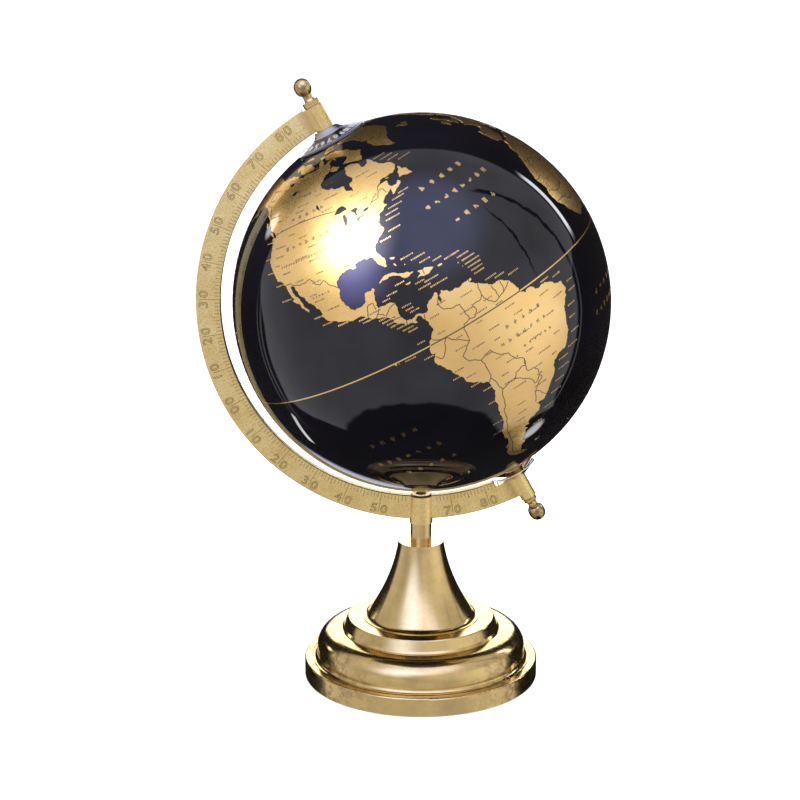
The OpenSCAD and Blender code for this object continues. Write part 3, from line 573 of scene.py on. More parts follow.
def foil(pieces, outlines):
    """Adds one land to the foil: a thin closed sheet along the ball, with holes where outlines nest."""
    flat_map = FlatMap(outlines[0])
    loops = [flat_map.flatten(outline) for outline in outlines]
    points = [Vector(p) for loop in loops for p in loop]
    edges = []
    start = 0
    for loop in loops:
        edges += [(start + k, start + (k + 1) % len(loop)) for k in range(len(loop))]
        start += len(loop)
    points += [Vector(p) for p in grid_inside(loops)]
    closest = 1e-7
    cut_points, _, triangles = delaunay_2d_cdt(points, edges, [], 0, closest)[:3]
    flat = np.array([tuple(p) for p in cut_points])
    triangles = np.array([tuple(t) for t in triangles])
    keep = triangles[inside(flat[triangles].mean(axis=1), loops)]
    if not len(keep):
        return
    used, keep = np.unique(keep, return_inverse=True)
    keep = keep.reshape(-1, 3)
    out = flat_map.lift(flat[used])
    a, b, c = out[keep[:, 0]], out[keep[:, 1]], out[keep[:, 2]]
    inward = np.einsum("ij,ij->i", np.cross(b - a, c - a), a) < 0
    keep[inward] = keep[inward][:, ::-1]
    centre = np.array(CENTRE)
    n = len(out)
    verts = np.concatenate([centre + out * (BALL_R + FOIL_TOP), centre + out * (BALL_R + PRINT_LOW)])
    tops = [tuple(t) for t in keep.tolist()]
    sides = {(t[k], t[(k + 1) % 3]) for t in tops for k in range(3)}
    walls = [(q, p, p + n, q + n) for p, q in sides if (q, p) not in sides]
    pieces.add(verts.tolist(), tops + [tuple(n + i for i in reversed(t)) for t in tops] + walls)


def round_foil(piece):
    """Gives the foil the ball's own normals, so that it mirrors as evenly as the ball does."""
    edge = 0.5
    mesh = piece.data
    normals = []
    for polygon in mesh.polygons:
        out = (polygon.center - CENTRE).normalized()
        level = polygon.normal.dot(out)
        polygon.use_smooth = True
        for index in polygon.vertices:
            radial = (mesh.vertices[index].co - CENTRE).normalized()
            normals.append(radial * math.copysign(1, level) if abs(level) > edge else polygon.normal.copy())
    mesh.normals_split_custom_set(normals)


def printed_land():
    """The gold land on the ball, one piece for each part of the world. Returns its outlines."""
    rng = random.Random(7)
    bush_ring = [ball_direction(BUSH_CLEAR_LAT, 360 * k / BUSH_CLEAR_SIDES) for k in range(BUSH_CLEAR_SIDES)]
    parts = {
        "map_americas": [[AMERICAS] + AMERICAN_LAKES],
        "map_old_world": [[OLD_WORLD] + OLD_WORLD_LAKES],
        "map_islands": [[island] for island in ISLANDS],
        "map_antarctica": [[ANTARCTICA]],
    }
    shores = []
    for name, lands in parts.items():
        pieces = Pieces()
        for land in lands:
            outlines = [coast(places(text), COAST_WOBBLE, rng) for text in land]
            shores.append(outlines)
            if name == "map_antarctica":
                outlines = outlines + [bush_ring]
            foil(pieces, outlines)
        piece = pieces.build(name, "globe", GOLD_FOIL)
        round_foil(piece)
        PRINTED.append(piece)
    return shores


def printed_lines():
    """The equator in gold at sea and in ink on land, and the borders in ink."""
    step = 2
    equator = [ball_direction(0, lon) for lon in range(-180, 181, step)]
    gold = Pieces()
    line_on_ball(gold, equator, EQUATOR_W, PRINT_LOW, SEA_LINE_TOP)
    PRINTED.append(gold.build("equator_line", "globe", GOLD_FOIL))
    rng = random.Random(11)
    ink = Pieces()
    for west, east in EQUATOR_ON_LAND:
        count = max(2, round((east - west) / step))
        stretch = [ball_direction(0, west + (east - west) * k / count) for k in range(count + 1)]
        line_on_ball(ink, stretch, EQUATOR_INK_W, 0, INK_TOP)
    for text in BORDERS:
        stops = places(text)
        line = []
        for a, b in zip(stops, stops[1:]):
            line += wander(a, b, 0 if text.startswith(SURVEYED) else BORDER_WOBBLE, rng)
        line_on_ball(ink, line + [stops[-1]], BORDER_W, 0, INK_TOP)
    PRINTED.append(ink.build("border_lines", "globe", MAP_INK))


# Distance between the dashes of a name, and their sizes
MARK_PITCH = 0.88 * MM
MARK_H = 0.84 * MM
MARK_W = (0.32 * MM, 0.58 * MM)


def wide_row(pieces, row, low, top, rng):
    """A spaced row of unreadable upright dashes, in place of the name of a sea or a land."""
    lat, lon, count, gap, tall = row
    height = tall * MM
    width = 0.15 * height
    across = math.degrees(0.26 * height / BALL_R) / math.cos(math.radians(lat))
    lift = math.degrees(0.2 * height / BALL_R)
    for k in range(count):
        for side in (-1, 0, 1):
            share = rng.choice((0.4, 0.7, 1.0))
            shift = rng.choice((-1, 1)) * (1 - share) * lift
            mark_on_ball(pieces, lat + shift, lon + k * gap + side * across, width, height * share, low, top)


def row_of_marks(pieces, lat, lon, count, low, top, rng):
    """A row of dashes in place of a printed name, from west to east."""
    gap = math.degrees(MARK_PITCH / BALL_R) / math.cos(math.radians(lat))
    for k in range(count):
        width = rng.uniform(*MARK_W)
        mark_on_ball(pieces, lat, lon + k * gap, width, MARK_H * rng.uniform(0.7, 1.0), low, top)


def printed_marks(shores):
    """Rows of unreadable dashes where a map has its names, in gold at sea and in ink on land."""
    rng = random.Random(23)
    gold = Pieces()
    for lat, lon, count in SEA_MARKS:
        row_of_marks(gold, lat, lon, count, PRINT_LOW, SEA_LINE_TOP, rng)
    for row in OCEAN_ROWS:
        wide_row(gold, row, PRINT_LOW, SEA_LINE_TOP, rng)
    PRINTED.append(gold.build("sea_label_marks", "globe", GOLD_FOIL))
    ink = Pieces()
    for row in LAND_ROWS:
        wide_row(ink, row, 0, INK_TOP, rng)
    for outlines in shores:
        scatter_labels(ink, outlines, rng)
    PRINTED.append(ink.build("land_label_marks", "globe", MAP_INK))


def scatter_labels(pieces, outlines, rng):
    """Rows of dashes over one land, wherever a whole row fits between its shores."""
    flat_map = FlatMap(outlines[0])
    loops = [flat_map.flatten(outline) for outline in outlines]
    south_end, north_end, row_gap = -54, 72, 2.9
    west_end, east_end, word_gap = -168, 180, (6, 13)
    jitter = 0.8
    letters = (4, 9)
    tested_shares = (-0.1, 0.5, 1.1)
    tries = []
    lat = south_end
    while lat < north_end:
        lon = west_end + rng.uniform(0, 4)
        while lon < east_end:
            tries.append((lat + rng.uniform(-jitter, jitter), lon, rng.randint(*letters)))
            lon += rng.uniform(*word_gap) / math.cos(math.radians(lat))
        lat += row_gap
    length = math.degrees(MARK_PITCH / BALL_R)
    spots = []
    for lat, lon, count in tries:
        span = count * length / math.cos(math.radians(lat))
        spots += [ball_direction(lat, lon + span * share) for share in tested_shares]
    held = inside(flat_map.flatten(spots), loops).reshape(-1, len(tested_shares)).all(axis=1)
    for (lat, lon, count), fits in zip(tries, held):
        if fits:
            row_of_marks(pieces, lat, lon, count, 0, INK_TOP, rng)


# ---------------------------------------------------------------- degree scale and hour marks

CUT_PROUD = 0.03 * MM
TICK_HALF_W = 0.12 * MM

# A digit's height as a share of the font's size
DIGIT_SHARE = 0.7


def tick(pieces, start, end, out):
    """A straight stroke from start to end, on a face that looks along out."""
    across = (end - start).normalized().cross(out) * TICK_HALF_W
    pieces.block((start + end) / 2, (end - start) / 2, across, out * CUT_PROUD)


def numeral(pieces, outline, foot, reading, tops, out, stretch=1):
    """A numeral's outline with its foot at a point, from its reading, upward and outward directions."""
    verts, faces = outline
    pieces.add([foot + v.x * stretch * reading + v.y * tops + v.z * out for v in verts], faces)


def digit_outlines(height, line):
    """Vertices and faces of the ten digits as thin outlines, standing on the X axis and centred on it."""
    return {digit: digit_outline(digit, height, line) for digit in "0123456789"}


def digit_outline(text, height, line):
    """Vertices and faces of one digit, from the outline that the font gives it."""
    curve = bpy.data.curves.new("digit", "FONT")
    curve.body = text
    curve.size = height / DIGIT_SHARE
    curve.align_x = "CENTER"
    curve.fill_mode = "NONE"
    curve.bevel_depth = line
    curve.bevel_resolution = 0
    curve.resolution_u = 3
    piece = bpy.data.objects.new("digit", curve)
    bpy.context.scene.collection.objects.link(piece)
    bpy.context.view_layer.update()
    mesh = piece.evaluated_get(bpy.context.evaluated_depsgraph_get()).to_mesh()
    verts = [v.co.copy() for v in mesh.vertices]
    faces = [tuple(p.vertices) for p in mesh.polygons]
    bpy.data.objects.remove(piece)
    bpy.data.curves.remove(curve)
    return verts, faces


def arm_scale():
    """Degree ticks on both faces of the arm, with outlined numerals each ten degrees from the equator."""
    digit_height = 4.7 * MM
    digit_gap = 5.6 * MM
    digit_stretch = 1.15
    rim_gap = 1.6 * MM
    tick_start = ARM_IN + 0.7 * MM
    tick_lengths = {10: 10.2 * MM, 5: 3.8 * MM, 1: 2.6 * MM}
    foot_lat = -61.5
    foot_clear = 4.2
    end_lat = 84
    outlines = digit_outlines(digit_height, 0.13 * MM)
    ticks = Pieces()
    numerals = Pieces()
    for front in (-1, 1):
        for lat in range(-end_lat, end_lat + 1):
            if abs(lat - foot_lat) < foot_clear:
                continue
            length = next(tick_lengths[step] for step in tick_lengths if lat % step == 0)
            start, end = (arm_spot(lat, radius, front) for radius in (tick_start, tick_start + length))
            tick(ticks, start, end, SIDE)
            if lat % 10:
                continue
            northern = lat >= 0
            foot = arm_spot(lat, ARM_OUT - rim_gap - (digit_height if northern else 0), front)
            tops = outward_on_arm(lat) * (1 if northern else -1)
            reading = tops.cross(SIDE) * front
            for digit, place_in_row in zip(f"{abs(lat):02d}", (-0.5, 0.5)):
                spot = foot + reading * digit_gap * place_in_row
                numeral(numerals, outlines[digit], spot, reading, tops, SIDE, digit_stretch)
    ticks.build("arm_degree_ticks", "stand", ENGRAVED_BRASS)
    numerals.build("arm_degree_numerals", "stand", ENGRAVED_BRASS)


def dial_spot(radius, turn):
    """A point on the hour dial's sloping top face, at a distance from the axle and an angle round it."""
    direction = math.cos(turn) * ACROSS + math.sin(turn) * SIDE
    share = (radius - DIAL_BEND_R) / (DIAL_CORNER_R - DIAL_BEND_R)
    height = DIAL_BEND_TOP + (DIAL_CORNER_TOP - DIAL_BEND_TOP) * share
    return CENTRE + direction * radius + NORTH * height


def dial_shape():
    """Radius of the dial, and radius and height of both ends of its sloping face, read off its mesh."""
    found = []
    for v in NODES["hour_dial"].data.vertices:
        p = v.co - CENTRE
        height = p.dot(NORTH)
        found.append(((p - height * NORTH).length, height))
    rim = max(r for r, h in found)
    bend_top = max(h for r, h in found)
    level, rim_width = 0.01 * MM, 0.5 * MM
    bend = max(r for r, h in found if h > bend_top - level)
    corner_top, corner = max((h, r) for r, h in found if r > rim - rim_width)
    return rim, bend, bend_top, corner, corner_top


DIAL_R, DIAL_BEND_R, DIAL_BEND_TOP, DIAL_CORNER_R, DIAL_CORNER_TOP = dial_shape()


def hour_marks():
    """Two rounds of twelve hours etched on the dial, with a tick for each quarter of an hour at its rim."""
    digit_pitch = 1.75 * MM
    digit_r = DIAL_R - 6.1 * MM
    tick_in = DIAL_R - 1.7 * MM
    tick_out = DIAL_R - 0.5 * MM
    outlines = digit_outlines(3.7 * MM, 0.11 * MM)
    hours = 24
    marks = Pieces()
    for hour in range(hours):
        turn = 2 * math.pi * hour / hours
        foot = dial_spot(digit_r, turn)
        tops = (dial_spot(tick_out, turn) - foot).normalized()
        reading = tops.cross((foot - CENTRE).normalized()).normalized()
        label = str(hour % 12 + 1)
        for k, digit in enumerate(label):
            spot = foot + reading * digit_pitch * (k - (len(label) - 1) / 2)
            numeral(marks, outlines[digit], spot, reading, tops, reading.cross(tops))
        for quarter in range(4):
            angle = 2 * math.pi * (hour + quarter / 4) / hours
            tick(marks, dial_spot(tick_in, angle), dial_spot(tick_out, angle), NORTH)
    marks.build("dial_hour_marks", "dial", ETCHED_CHROME)


# ---------------------------------------------------------------- materials


class Nodes:
    """Short names for making and joining the nodes of one node tree."""

    def __init__(self, tree):
        self.tree = tree

    def node(self, kind, **settings):
        made = self.tree.nodes.new("ShaderNode" + kind)
        for key, value in settings.items():
            setattr(made, key, value)
        return made

    def feed(self, value, socket):
        """Joins another node's output to a socket, or sets a plain value on it."""
        if isinstance(value, bpy.types.NodeSocket):
            self.tree.links.new(value, socket)
        else:
            socket.default_value = value

    def math(self, operation, a, b):
        made = self.node("Math", operation=operation)
        self.feed(a, made.inputs[0])
        self.feed(b, made.inputs[1])
        return made.outputs["Value"]

    def product(self, *sources):
        result = sources[0]
        for source in sources[1:]:
            result = self.math("MULTIPLY", result, source)
        return result

    def vector_math(self, operation, *inputs):
        made = self.node("VectorMath", operation=operation)
        for value, socket in zip(inputs, made.inputs):
            self.feed(value, socket)
        return made.outputs["Value" if operation in ("DOT_PRODUCT", "LENGTH", "DISTANCE") else "Vector"]

    def noise(self, vector, scale, detail, rough=0.5):
        made = self.node("TexNoise")
        for key, value in (("Vector", vector), ("Scale", scale), ("Detail", detail), ("Roughness", rough)):
            self.feed(value, made.inputs[key])
        return made.outputs["Fac"]

    def spread(self, source, low, high, start=0.3, end=0.7, curve="LINEAR"):
        """Source stretched from start and end to low and high."""
        made = self.node("MapRange", interpolation_type=curve, clamp=True)
        self.feed(source, made.inputs["Value"])
        for key, value in (("From Min", start), ("From Max", end), ("To Min", low), ("To Max", high)):
            made.inputs[key].default_value = value
        return made.outputs["Result"]


class Finish(Nodes):
    """A material on one Principled shader, with short names for what the finishes share."""

    def __init__(self, name, **inputs):
        self.material = bpy.data.materials.new(name)
        self.material.use_nodes = True
        super().__init__(self.material.node_tree)
        self.shader = self.tree.nodes["Principled BSDF"]
        for key, value in inputs.items():
            self.shader.inputs[key.replace("_", " ")].default_value = value

    def position(self):
        return self.node("TexCoord").outputs["Object"]

    def turned(self, origin, axis):
        """Coordinates that run out from an axis and along it, so that noise makes the rings of a lathe."""
        offset = self.vector_math("SUBTRACT", self.position(), Vector(origin))
        made = self.node("CombineXYZ")
        self.feed(self.from_axis(offset, axis), made.inputs["X"])
        self.feed(self.vector_math("DOT_PRODUCT", offset, axis), made.inputs["Y"])
        return made.outputs["Vector"]

    def from_axis(self, offset, axis):
        """How far an offset lies from an axis."""
        return self.vector_math("LENGTH", self.vector_math("CROSS_PRODUCT", offset, axis))

    def grain(self, scale, detail, rough=0.5):
        return self.noise(self.position(), scale, detail, rough)

    def rings(self, origin, axis, scale, detail, rough):
        return self.noise(self.turned(origin, axis), scale, detail, rough)

    def blend(self, factor, first, second):
        """Changes from the first colour, plain or from a node, to the second one with the factor."""
        made = self.node("Mix", data_type="RGBA")
        self.feed(factor, made.inputs["Factor"])
        for colour, socket in zip((first, second), [i for i in made.inputs if i.type == "RGBA"]):
            self.feed((*colour, 1) if isinstance(colour, tuple) else colour, socket)
        return next(o for o in made.outputs if o.type == "RGBA")

    def between(self, factor, dark, light):
        """A colour that wanders from dark to light with a noise."""
        return self.blend(self.spread(factor, 0, 1), dark, light)

    def colour(self, source):
        self.feed(source, self.shader.inputs["Base Color"])

    def roughness(self, source, low, high):
        self.feed(self.spread(source, low, high), self.shader.inputs["Roughness"])

    def bump(self, *layers):
        """Bump from layers of height source, strength and depth in metres."""
        normal = None
        for source, strength, depth in layers:
            made = self.node("Bump")
            made.inputs["Strength"].default_value = strength
            made.inputs["Distance"].default_value = depth
            self.feed(source, made.inputs["Height"])
            if normal is not None:
                self.feed(normal, made.inputs["Normal"])
            normal = made.outputs["Normal"]
        self.feed(normal, self.shader.inputs["Normal"])


def grained(name, dark, light, rough, grain, bump=None, **inputs):
    """A finish whose colour, roughness and relief all follow one noise: grain is its scale and detail."""
    f = Finish(name, **inputs)
    noise = f.grain(*grain)
    f.colour(f.between(noise, dark, light))
    f.roughness(noise, *rough)
    if bump:
        f.bump((noise, *bump))
    return f.material


def polished_brass(name, origin, axis):
    """Polished and lacquered brass with faint lathe rings, and a tarnish-like brown mottle laid on as painted
    dark reflection that grows toward the left and right sides.
    """
    f = Finish(name, Metallic=1.0)
    clean = f.between(f.grain(34, 4, 0.6), (0.63, 0.455, 0.18), (0.71, 0.525, 0.23))
    mottle = f.spread(f.grain(150, 5, 0.7), 0, 1, 0.46, 0.58)
    made = f.node("SeparateXYZ")
    f.feed(f.position(), made.inputs["Vector"])
    across = made.outputs["X"]
    # Painted dark reflection: a brown mottle, broken up like tarnish, that grows from 22 mm to 52 mm out
    # along X, toward the left and right sides
    unshaded_to, full_shade_from = 22 * MM, 52 * MM
    outer = f.spread(f.product(across, across), 0.1, 0.75, unshaded_to ** 2, full_shade_from ** 2)
    f.colour(f.blend(f.product(mottle, outer), clean, (0.20, 0.13, 0.055)))
    f.roughness(f.grain(70, 5, 0.65), 0.13, 0.22)
    f.bump((f.rings(origin, axis, 2600, 2, 0.6), 0.05, 0.02 * MM), (f.grain(420, 3), 0.06, 0.02 * MM))
    return f.material


def satin_brass():
    """Cast brass with a satin face: a coarse speckled grain, and a painted brown shadow in the fillet beside
    each end boss.
    """
    f = Finish("satin_brass", Metallic=1.0)
    grain = f.grain(2100, 2, 0.6)
    from_axle = f.from_axis(f.vector_math("SUBTRACT", f.position(), CENTRE), NORTH)
    # Painted shadow: a brown band 4.4 to 11 mm from the axle, where the blade meets each end boss
    boss_fillet_shade = f.product(
        f.spread(from_axle, 0, 0.55, 4.4 * MM, 6.0 * MM), f.spread(from_axle, 1, 0, 6.5 * MM, 11 * MM)
    )
    clean = f.between(f.grain(90, 4, 0.6), (0.82, 0.60, 0.22), (0.94, 0.73, 0.31))
    speckled = f.blend(f.spread(grain, 0.5, 0, 0.36, 0.50), clean, (0.42, 0.27, 0.09))
    f.colour(f.blend(boss_fillet_shade, speckled, (0.42, 0.22, 0.07)))
    f.roughness(grain, 0.24, 0.44)
    f.bump((grain, 0.55, 0.16 * MM), (f.grain(480, 2), 0.2, 0.10 * MM))
    return f.material


def engraved_brass():
    """The dull dark bottom of an engraved stroke in brass."""
    return grained(
        "engraved_brass", (0.15, 0.09, 0.03), (0.38, 0.25, 0.09), (0.45, 0.65), (900, 3), Metallic=1.0
    )


def chrome(name, tone, rough):
    """Chrome plate, with turning marks and a few hazy spots; given a dark tone, it stands for chrome darkened
    by painted shade.
    """
    f = Finish(name, Metallic=1.0)
    haze = f.grain(160, 4)
    f.colour(f.between(haze, tuple(0.9 * c for c in tone), tone))
    f.roughness(haze, rough, rough + 0.07)
    f.bump((f.rings(CENTRE, NORTH, 3200, 2, 0.5), 0.06, 0.01 * MM))
    return f.material


def satin_chrome():
    """Brushed chrome for the dial's hub."""
    f = Finish("satin_chrome", Metallic=1.0)
    rings = f.rings(CENTRE, NORTH, 2800, 3, 0.6)
    f.colour(f.between(rings, (0.52, 0.52, 0.60), (0.66, 0.66, 0.74)))
    f.roughness(rings, 0.22, 0.36)
    f.bump((rings, 0.15, 0.03 * MM))
    return f.material


def etched_chrome():
    """Matt grey bottom of the strokes etched in the dial."""
    return grained("etched_chrome", (0.44, 0.44, 0.46), (0.62, 0.62, 0.64), (0.55, 0.75), (1800, 3))


def gloss_black():
    """Black sea under clear lacquer."""
    f = Finish("gloss_black", Coat_Weight=1.0, Coat_Roughness=0.02, Coat_IOR=1.5, Specular_IOR_Level=0.0)
    f.colour(f.between(f.grain(22, 4), (0.0020, 0.0019, 0.0024), (0.0040, 0.0037, 0.0050)))
    f.roughness(f.grain(900, 3), 0.44, 0.54)
    return f.material


def gold_foil():
    """Printed gold under clear lacquer, with a fine speckle and a slow change of tone."""
    f = Finish("gold_foil", Metallic=1.0, Coat_Weight=1.0, Coat_Roughness=0.02, Coat_IOR=1.5)
    speckle = f.grain(1700, 2, 0.7)
    f.colour(f.between(f.grain(30, 3), (0.90, 0.54, 0.15), (0.98, 0.68, 0.26)))
    f.roughness(speckle, 0.22, 0.38)
    f.bump((speckle, 0.25, 0.05 * MM))
    return f.material


def map_ink():
    """Dark brown printing ink on the gold, under the same lacquer."""
    lacquer = {"Coat_Weight": 1.0, "Coat_Roughness": 0.03}
    return grained("map_ink", (0.018, 0.010, 0.004), (0.050, 0.028, 0.010), (0.4, 0.6), (400, 3), **lacquer)


def felt():
    """Dark green felt: short matted fibres."""
    dark, light = (0.006, 0.020, 0.010), (0.020, 0.055, 0.028)
    return grained("felt", dark, light, (0.85, 1.0), (1400, 6, 0.7), (0.6, 0.3 * MM), Sheen_Weight=0.4)


def plain_metal(name, dark, light, rough, scale):
    """Unpolished metal with a grain of its own."""
    shine = (rough, rough + 0.15)
    return grained(name, dark, light, shine, (scale, 4, 0.6), (0.25, 0.08 * MM), Metallic=1.0)


def plain_solid(name, dark, light, rough):
    """Plastic or board with a slight mottle."""
    return grained(name, dark, light, (rough, rough + 0.15), (500, 4, 0.6), (0.2, 0.05 * MM))


def paint(material, *names):
    """Puts a finish on CAD nodes, on the slots of their objects."""
    for name in names:
        node = NODES[name]
        if not node.material_slots:
            node.data.materials.append(material)
        for slot in node.material_slots:
            slot.material = material


# ---------------------------------------------------------------- stage


def camera():
    """The photograph's viewing angle: a little above the ball and a long way off."""
    lens = bpy.data.cameras.new("camera")
    lens.lens = 93.15
    lens.sensor_width = 36
    view = bpy.data.objects.new("camera", lens)
    view.location = (-0.0326, -1.0719, 0.4431)
    view.rotation_euler = (math.radians(75), 0, math.radians(-1.13))
    bpy.context.scene.collection.objects.link(view)
    bpy.context.scene.camera = view


def floor():
    """A plain white floor that takes soft shadows and stays out of the mirror finishes."""
    half = 12.0
    mesh = bpy.data.meshes.new("studio_floor")
    corners = [(-half, -half, 0), (half, -half, 0), (half, half, 0), (-half, half, 0)]
    mesh.from_pydata(corners, [], [(0, 1, 2, 3)])
    f = Finish("studio_white", Roughness=0.9, Emission_Color=(1, 1, 1, 1), Emission_Strength=0.35)
    f.colour(f.between(f.grain(3, 2), (0.93, 0.93, 0.93), (0.95, 0.95, 0.95)))
    mesh.materials.append(f.material)
    piece = bpy.data.objects.new("studio_floor", mesh)
    bpy.context.scene.collection.objects.link(piece)
    piece.visible_glossy = False


def toward(azimuth, elevation):
    """Unit vector by azimuth, 0 on the camera's side and 90 at +X, and elevation, both in degrees."""
    a, e = math.radians(azimuth), math.radians(elevation)
    return math.sin(a) * math.cos(e), -math.cos(a) * math.cos(e), math.sin(e)


class Sky(Nodes):
    """Sums of soft patches of light by direction, for the studio round the object."""

    def __init__(self):
        world = bpy.data.worlds.new("studio")
        bpy.context.scene.world = world
        world.use_nodes = True
        super().__init__(world.node_tree)
        self.direction = self.node("TexCoord").outputs["Generated"]
        self.total = None

    def along(self, x, y, z):
        """How far the direction leans along a vector."""
        return self.vector_math("DOT_PRODUCT", self.direction, (x, y, z))

    def ragged(self, source, amount, scale):
        """A source with noise added, so that an edge cut from it wavers."""
        centred = self.math("SUBTRACT", self.noise(self.direction, scale, 3), 0.5)
        return self.math("ADD", source, self.math("MULTIPLY", centred, amount))

    def step(self, source, start, end):
        """Rises smoothly from 0 at start to 1 at end, or falls where end is the lower."""
        low, high = (0, 1) if end > start else (1, 0)
        return self.spread(source, low, high, min(start, end), max(start, end), "SMOOTHSTEP")

    def patch(self, azimuth, elevation, half_width, softness):
        """A round patch, with its half width and the width of its soft edge in degrees."""
        edge = math.cos(math.radians(half_width + softness))
        full = math.cos(math.radians(max(half_width - softness, 0)))
        return self.step(self.along(*toward(azimuth, elevation)), edge, full)

    def band(self, source, low, high, soft):
        """1 where the source lies between two values, with soft edges."""
        return self.product(self.step(source, low - soft, low), self.step(source, high + soft, high))

    def seam(self, source, level, half, reach, start):
        """Nearly 0 on a ragged dark line across a wall, beyond the start of its reach, and 1 elsewhere."""
        line = self.band(self.ragged(source, 0.10, 10), level - half, level + half, half)
        return self.math("SUBTRACT", 1, self.product(line, self.step(reach, start, start + 0.06)))

    def streak(self, start, end, half_width):
        """A straight streak between two directions, with its half width in degrees."""
        a, b = Vector(toward(*start)), Vector(toward(*end))
        middle = (a + b).normalized()
        half = math.sin(math.radians(half_width))
        reach = a.dot(middle)
        line = self.band(self.along(*a.cross(b).normalized()), -half, half, half / 2)
        return self.product(line, self.step(self.along(*middle), reach - 0.001, reach + 0.001))

    def add(self, source, strength, tint=(1, 1, 1)):
        """Adds a source's light to the sum."""
        scaled = self.node("VectorMath", operation="SCALE")
        scaled.inputs[0].default_value = tuple(strength * c for c in tint)
        self.feed(source, scaled.inputs["Scale"])
        light = scaled.outputs["Vector"]
        self.total = light if self.total is None else self.vector_math("ADD", self.total, light)

    def finish(self):
        """White where the camera looks past the floor, and the studio everywhere else."""
        studio_light = self.tree.nodes["Background"]
        self.feed(self.total, studio_light.inputs["Color"])
        white = self.node("Background")
        white.inputs["Color"].default_value = (1, 1, 1, 1)
        mix = self.node("MixShader")
        self.feed(self.node("LightPath").outputs["Is Camera Ray"], mix.inputs["Fac"])
        self.feed(studio_light.outputs[0], mix.inputs[1])
        self.feed(white.outputs[0], mix.inputs[2])
        output = next(n for n in self.tree.nodes if n.type == "OUTPUT_WORLD")
        self.feed(mix.outputs[0], output.inputs["Surface"])


def tent():
    """A grey light tent, open behind, with dark gaps above, below and at both sides of the opening."""
    sky = Sky()
    right, left, height = sky.along(1, 0, 0), sky.along(-1, 0, 0), sky.along(0, 0, 1)
    front = sky.ragged(sky.along(*toward(0, 0)), 0.02, 5)
    right_gap = sky.product(sky.step(right, 0.6, 0.8), sky.step(height, 0.30, 0.12))
    low_left = sky.product(sky.step(left, 0.5, 0.8), sky.step(height, 0.08, -0.25))

    # The wall, wider open at the right and low at the left, with two dark seams high on the right
    opening = sky.math("ADD", sky.math("MULTIPLY", right_gap, 0.20), sky.math("MULTIPLY", low_left, 0.12))
    high_right = sky.along(0.8, 0, 0.6)
    wall = sky.product(
        sky.step(sky.ragged(sky.along(0, 0.158, 1), 0.07, 4), -0.872, -0.850),
        sky.step(sky.ragged(sky.along(0, -0.62, 1), 0.05, 4), -0.86, -0.84),
        sky.step(sky.math("SUBTRACT", front, opening), -0.46, -0.43),
        sky.seam(sky.along(-0.53, 1, 0), -0.24, 0.014, high_right, 0.84),
        sky.seam(sky.along(-0.253, -0.967, -0.04), 0.0, 0.010, high_right, 0.90),
    )
    uneven = sky.step(sky.ragged(0.0, 1, 1.4), -0.35, 0.25)
    cool = (1.0, 0.99, 1.05)
    sky.add(sky.product(wall, uneven), 0.42, cool)
    sky.add(wall, 0.46, cool)

    # A violet cloth overhead, and a brighter stretch at the right
    sky.add(sky.product(wall, sky.patch(2, 60, 25, 15)), 1.15, (0.72, 0.84, 1.75))
    sky.add(sky.product(wall, sky.patch(62, -4, 18, 18)), 0.2)

    # Light through the gap high on the right, and thin strips beside the edges of the opening
    gap_light = sky.product(
        sky.step(front, -0.525, -0.512), sky.step(front, -0.466, -0.478), sky.step(right, 0.25, 0.35),
        sky.step(height, 0.24, 0.34), sky.step(height, 0.67, 0.60),
    )
    sky.add(gap_light, 9.0, (0.95, 0.97, 1.05))
    for gap, low, high, strength in (
        (low_left, -0.458, -0.446, 0.45), (low_left, -0.405, -0.385, 0.5), (right_gap, -0.315, -0.300, 0.5)
    ):
        sky.add(sky.product(gap, sky.band(front, low, high, 0.008)), strength)

    # A pale cloth low behind, a slit low at the left, two small windows, and a little light everywhere
    sky.add(sky.patch(-171, -36, 8, 3), 1.5, (0.92, 0.90, 1.1))
    sky.add(sky.streak((-126.7, -40.7), (-143.5, -44.4), 0.9), 4.0)
    sky.add(sky.patch(-128.7, 16, 3.5, 1.5), 4.0)
    sky.add(sky.patch(122.5, -47.3, 3.5, 1.5), 4.0)
    sky.add(sky.step(height, -1.01, -1.0), 0.022, (1.0, 0.85, 0.7))
    sky.finish()


def studio():
    """The tent, two lamps on the ball, one on the dial, two on the stand, and one overhead for everything."""
    tent()
    sea = [NODES["north_hemisphere"], NODES["south_hemisphere"]]
    ball = sea + PRINTED
    marked_sea = sea + [bpy.data.objects["sea_label_marks"]]
    dial = [NODES["hour_dial"], NODES["dial_hub"], bpy.data.objects["dial_hour_marks"]]
    stand = [NODES[name] for name in NODES if NODES[name] not in sea]
    foot = Vector((0, 0, 0.03))
    soften(lamp("lamp_ball_glow", CENTRE, (-44, 27), 0.60, (0.62, 0.62), 2.6, (0.40, 0.38, 1.0), marked_sea))
    soften(lamp("lamp_ball_hot", CENTRE, (-51.6, 41), 0.60, (0.58, 0.58), 2.3, (0.97, 0.98, 1.0), ball))
    lamp("card_beside_dial", CENTRE + 0.1 * NORTH, (-146, 12), 0.6, (0.20, 0.24), 2.2, (0.95, 0.96, 1), dial)
    soften(lamp("lamp_stand_glow", foot, (-30, 32), 0.8, (1.0, 1.0), 2.4, (0.32, 0.43, 1.0), stand))
    lamp("card_behind_stand", foot, (180, 21), 0.95, (0.80, 0.44), 3.6, (1, 1, 1), stand)
    overhead = lamp("overhead", Vector((0, 0, 0)), (0, 90), 1.9, (2.4, 2.4), 55, (1, 1, 1), [])
    overhead.visible_glossy = False


def soften(piece):
    """Makes a round lamp brightest at its middle, fading smoothly to nothing at its edge."""
    piece.data.use_nodes = True
    nodes = Nodes(piece.data.node_tree)
    away = nodes.vector_math("DISTANCE", nodes.node("NewGeometry").outputs["Parametric"], (0.5, 0.5, 0))
    fade = nodes.spread(away, 3.2, 0, 0, 0.5, "SMOOTHSTEP")
    nodes.feed(fade, nodes.tree.nodes["Emission"].inputs["Strength"])


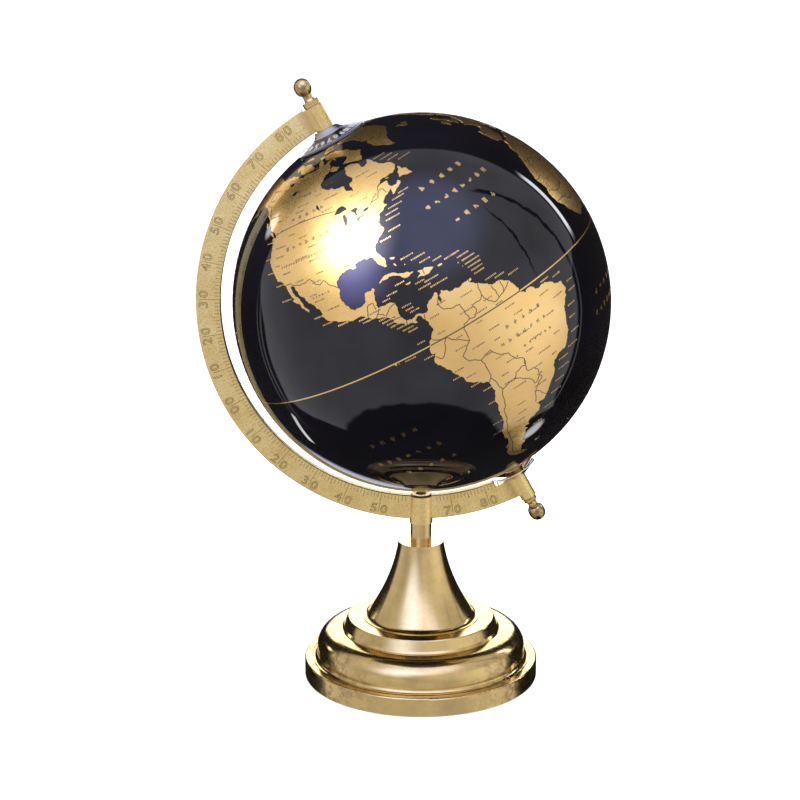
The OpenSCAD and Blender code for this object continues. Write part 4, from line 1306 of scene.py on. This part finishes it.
def lamp(name, target, direction, distance, size, power, tint, lit):
    """A lamp facing its target, round if its sizes are equal. It lights only the pieces in lit, if any."""
    light = bpy.data.lights.new(name, "AREA")
    light.shape = "ELLIPSE" if size[0] == size[1] else "RECTANGLE"
    light.size, light.size_y = size
    light.energy = power
    light.color = tint
    piece = bpy.data.objects.new(name, light)
    piece.location = target + distance * Vector(toward(*direction))
    piece.rotation_euler = (target - piece.location).to_track_quat("-Z", "Y").to_euler()
    bpy.context.scene.collection.objects.link(piece)
    if lit:
        group = bpy.data.collections.new(name + "_lit")
        for item in lit:
            group.objects.link(item)
        piece.light_linking.receiver_collection = group
    return piece


# ---------------------------------------------------------------- the object

GOLD_FOIL = gold_foil()
MAP_INK = map_ink()
ENGRAVED_BRASS = engraved_brass()
ETCHED_CHROME = etched_chrome()


def paint_frame():
    """Finishes of all CAD nodes."""
    turned_on_stand = polished_brass("polished_brass", (0, 0, 0), UP)
    turned_on_axle = polished_brass("polished_brass_axle", CENTRE, NORTH)
    zinc = plain_metal("zinc_steel", (0.42, 0.43, 0.45), (0.62, 0.63, 0.66), 0.25, 700)
    paint(turned_on_stand, "base_foot", "plinth_ring", "trumpet_column", "column_stem")
    paint(turned_on_axle, "north_finial", "south_finial", "south_spacer", "north_bushing", "south_bushing")
    paint(satin_brass(), "meridian_arm")
    paint(chrome("bright_chrome", (0.80, 0.80, 0.83), 0.05), "south_cup")
    # The hour dial is bright chrome; its dark colour is painted shade, for the dark surroundings that the
    # real dial mirrors
    paint(chrome("shade_darkened_chrome", (0.15, 0.15, 0.165), 0.28), "hour_dial")
    paint(satin_chrome(), "dial_hub")
    paint(gloss_black(), "north_hemisphere", "south_hemisphere")
    paint(felt(), "felt_pad")
    paint(plain_metal("iron", (0.10, 0.10, 0.11), (0.20, 0.19, 0.19), 0.55, 300), "ballast_weight")
    paint(zinc, "tie_rod", "tie_rod_washer", "tie_rod_lock_washer", "tie_rod_nut")
    paint(plain_metal("axle_steel", (0.50, 0.50, 0.52), (0.64, 0.64, 0.67), 0.18, 1200), "axle_rod")
    paint(plain_solid("nylon", (0.74, 0.72, 0.66), (0.82, 0.80, 0.75), 0.4), "north_thrust_washer")
    paint(NODES["north_thrust_washer"].material_slots[0].material, "south_thrust_washer")
    paint(plain_solid("joint_board", (0.32, 0.22, 0.12), (0.46, 0.34, 0.21), 0.8), "equator_band")


bpy.context.scene.view_settings.view_transform = "Standard"
camera()
floor()
paint_frame()
SHORES = printed_land()
printed_lines()
printed_marks(SHORES)
arm_scale()
hour_marks()
studio()
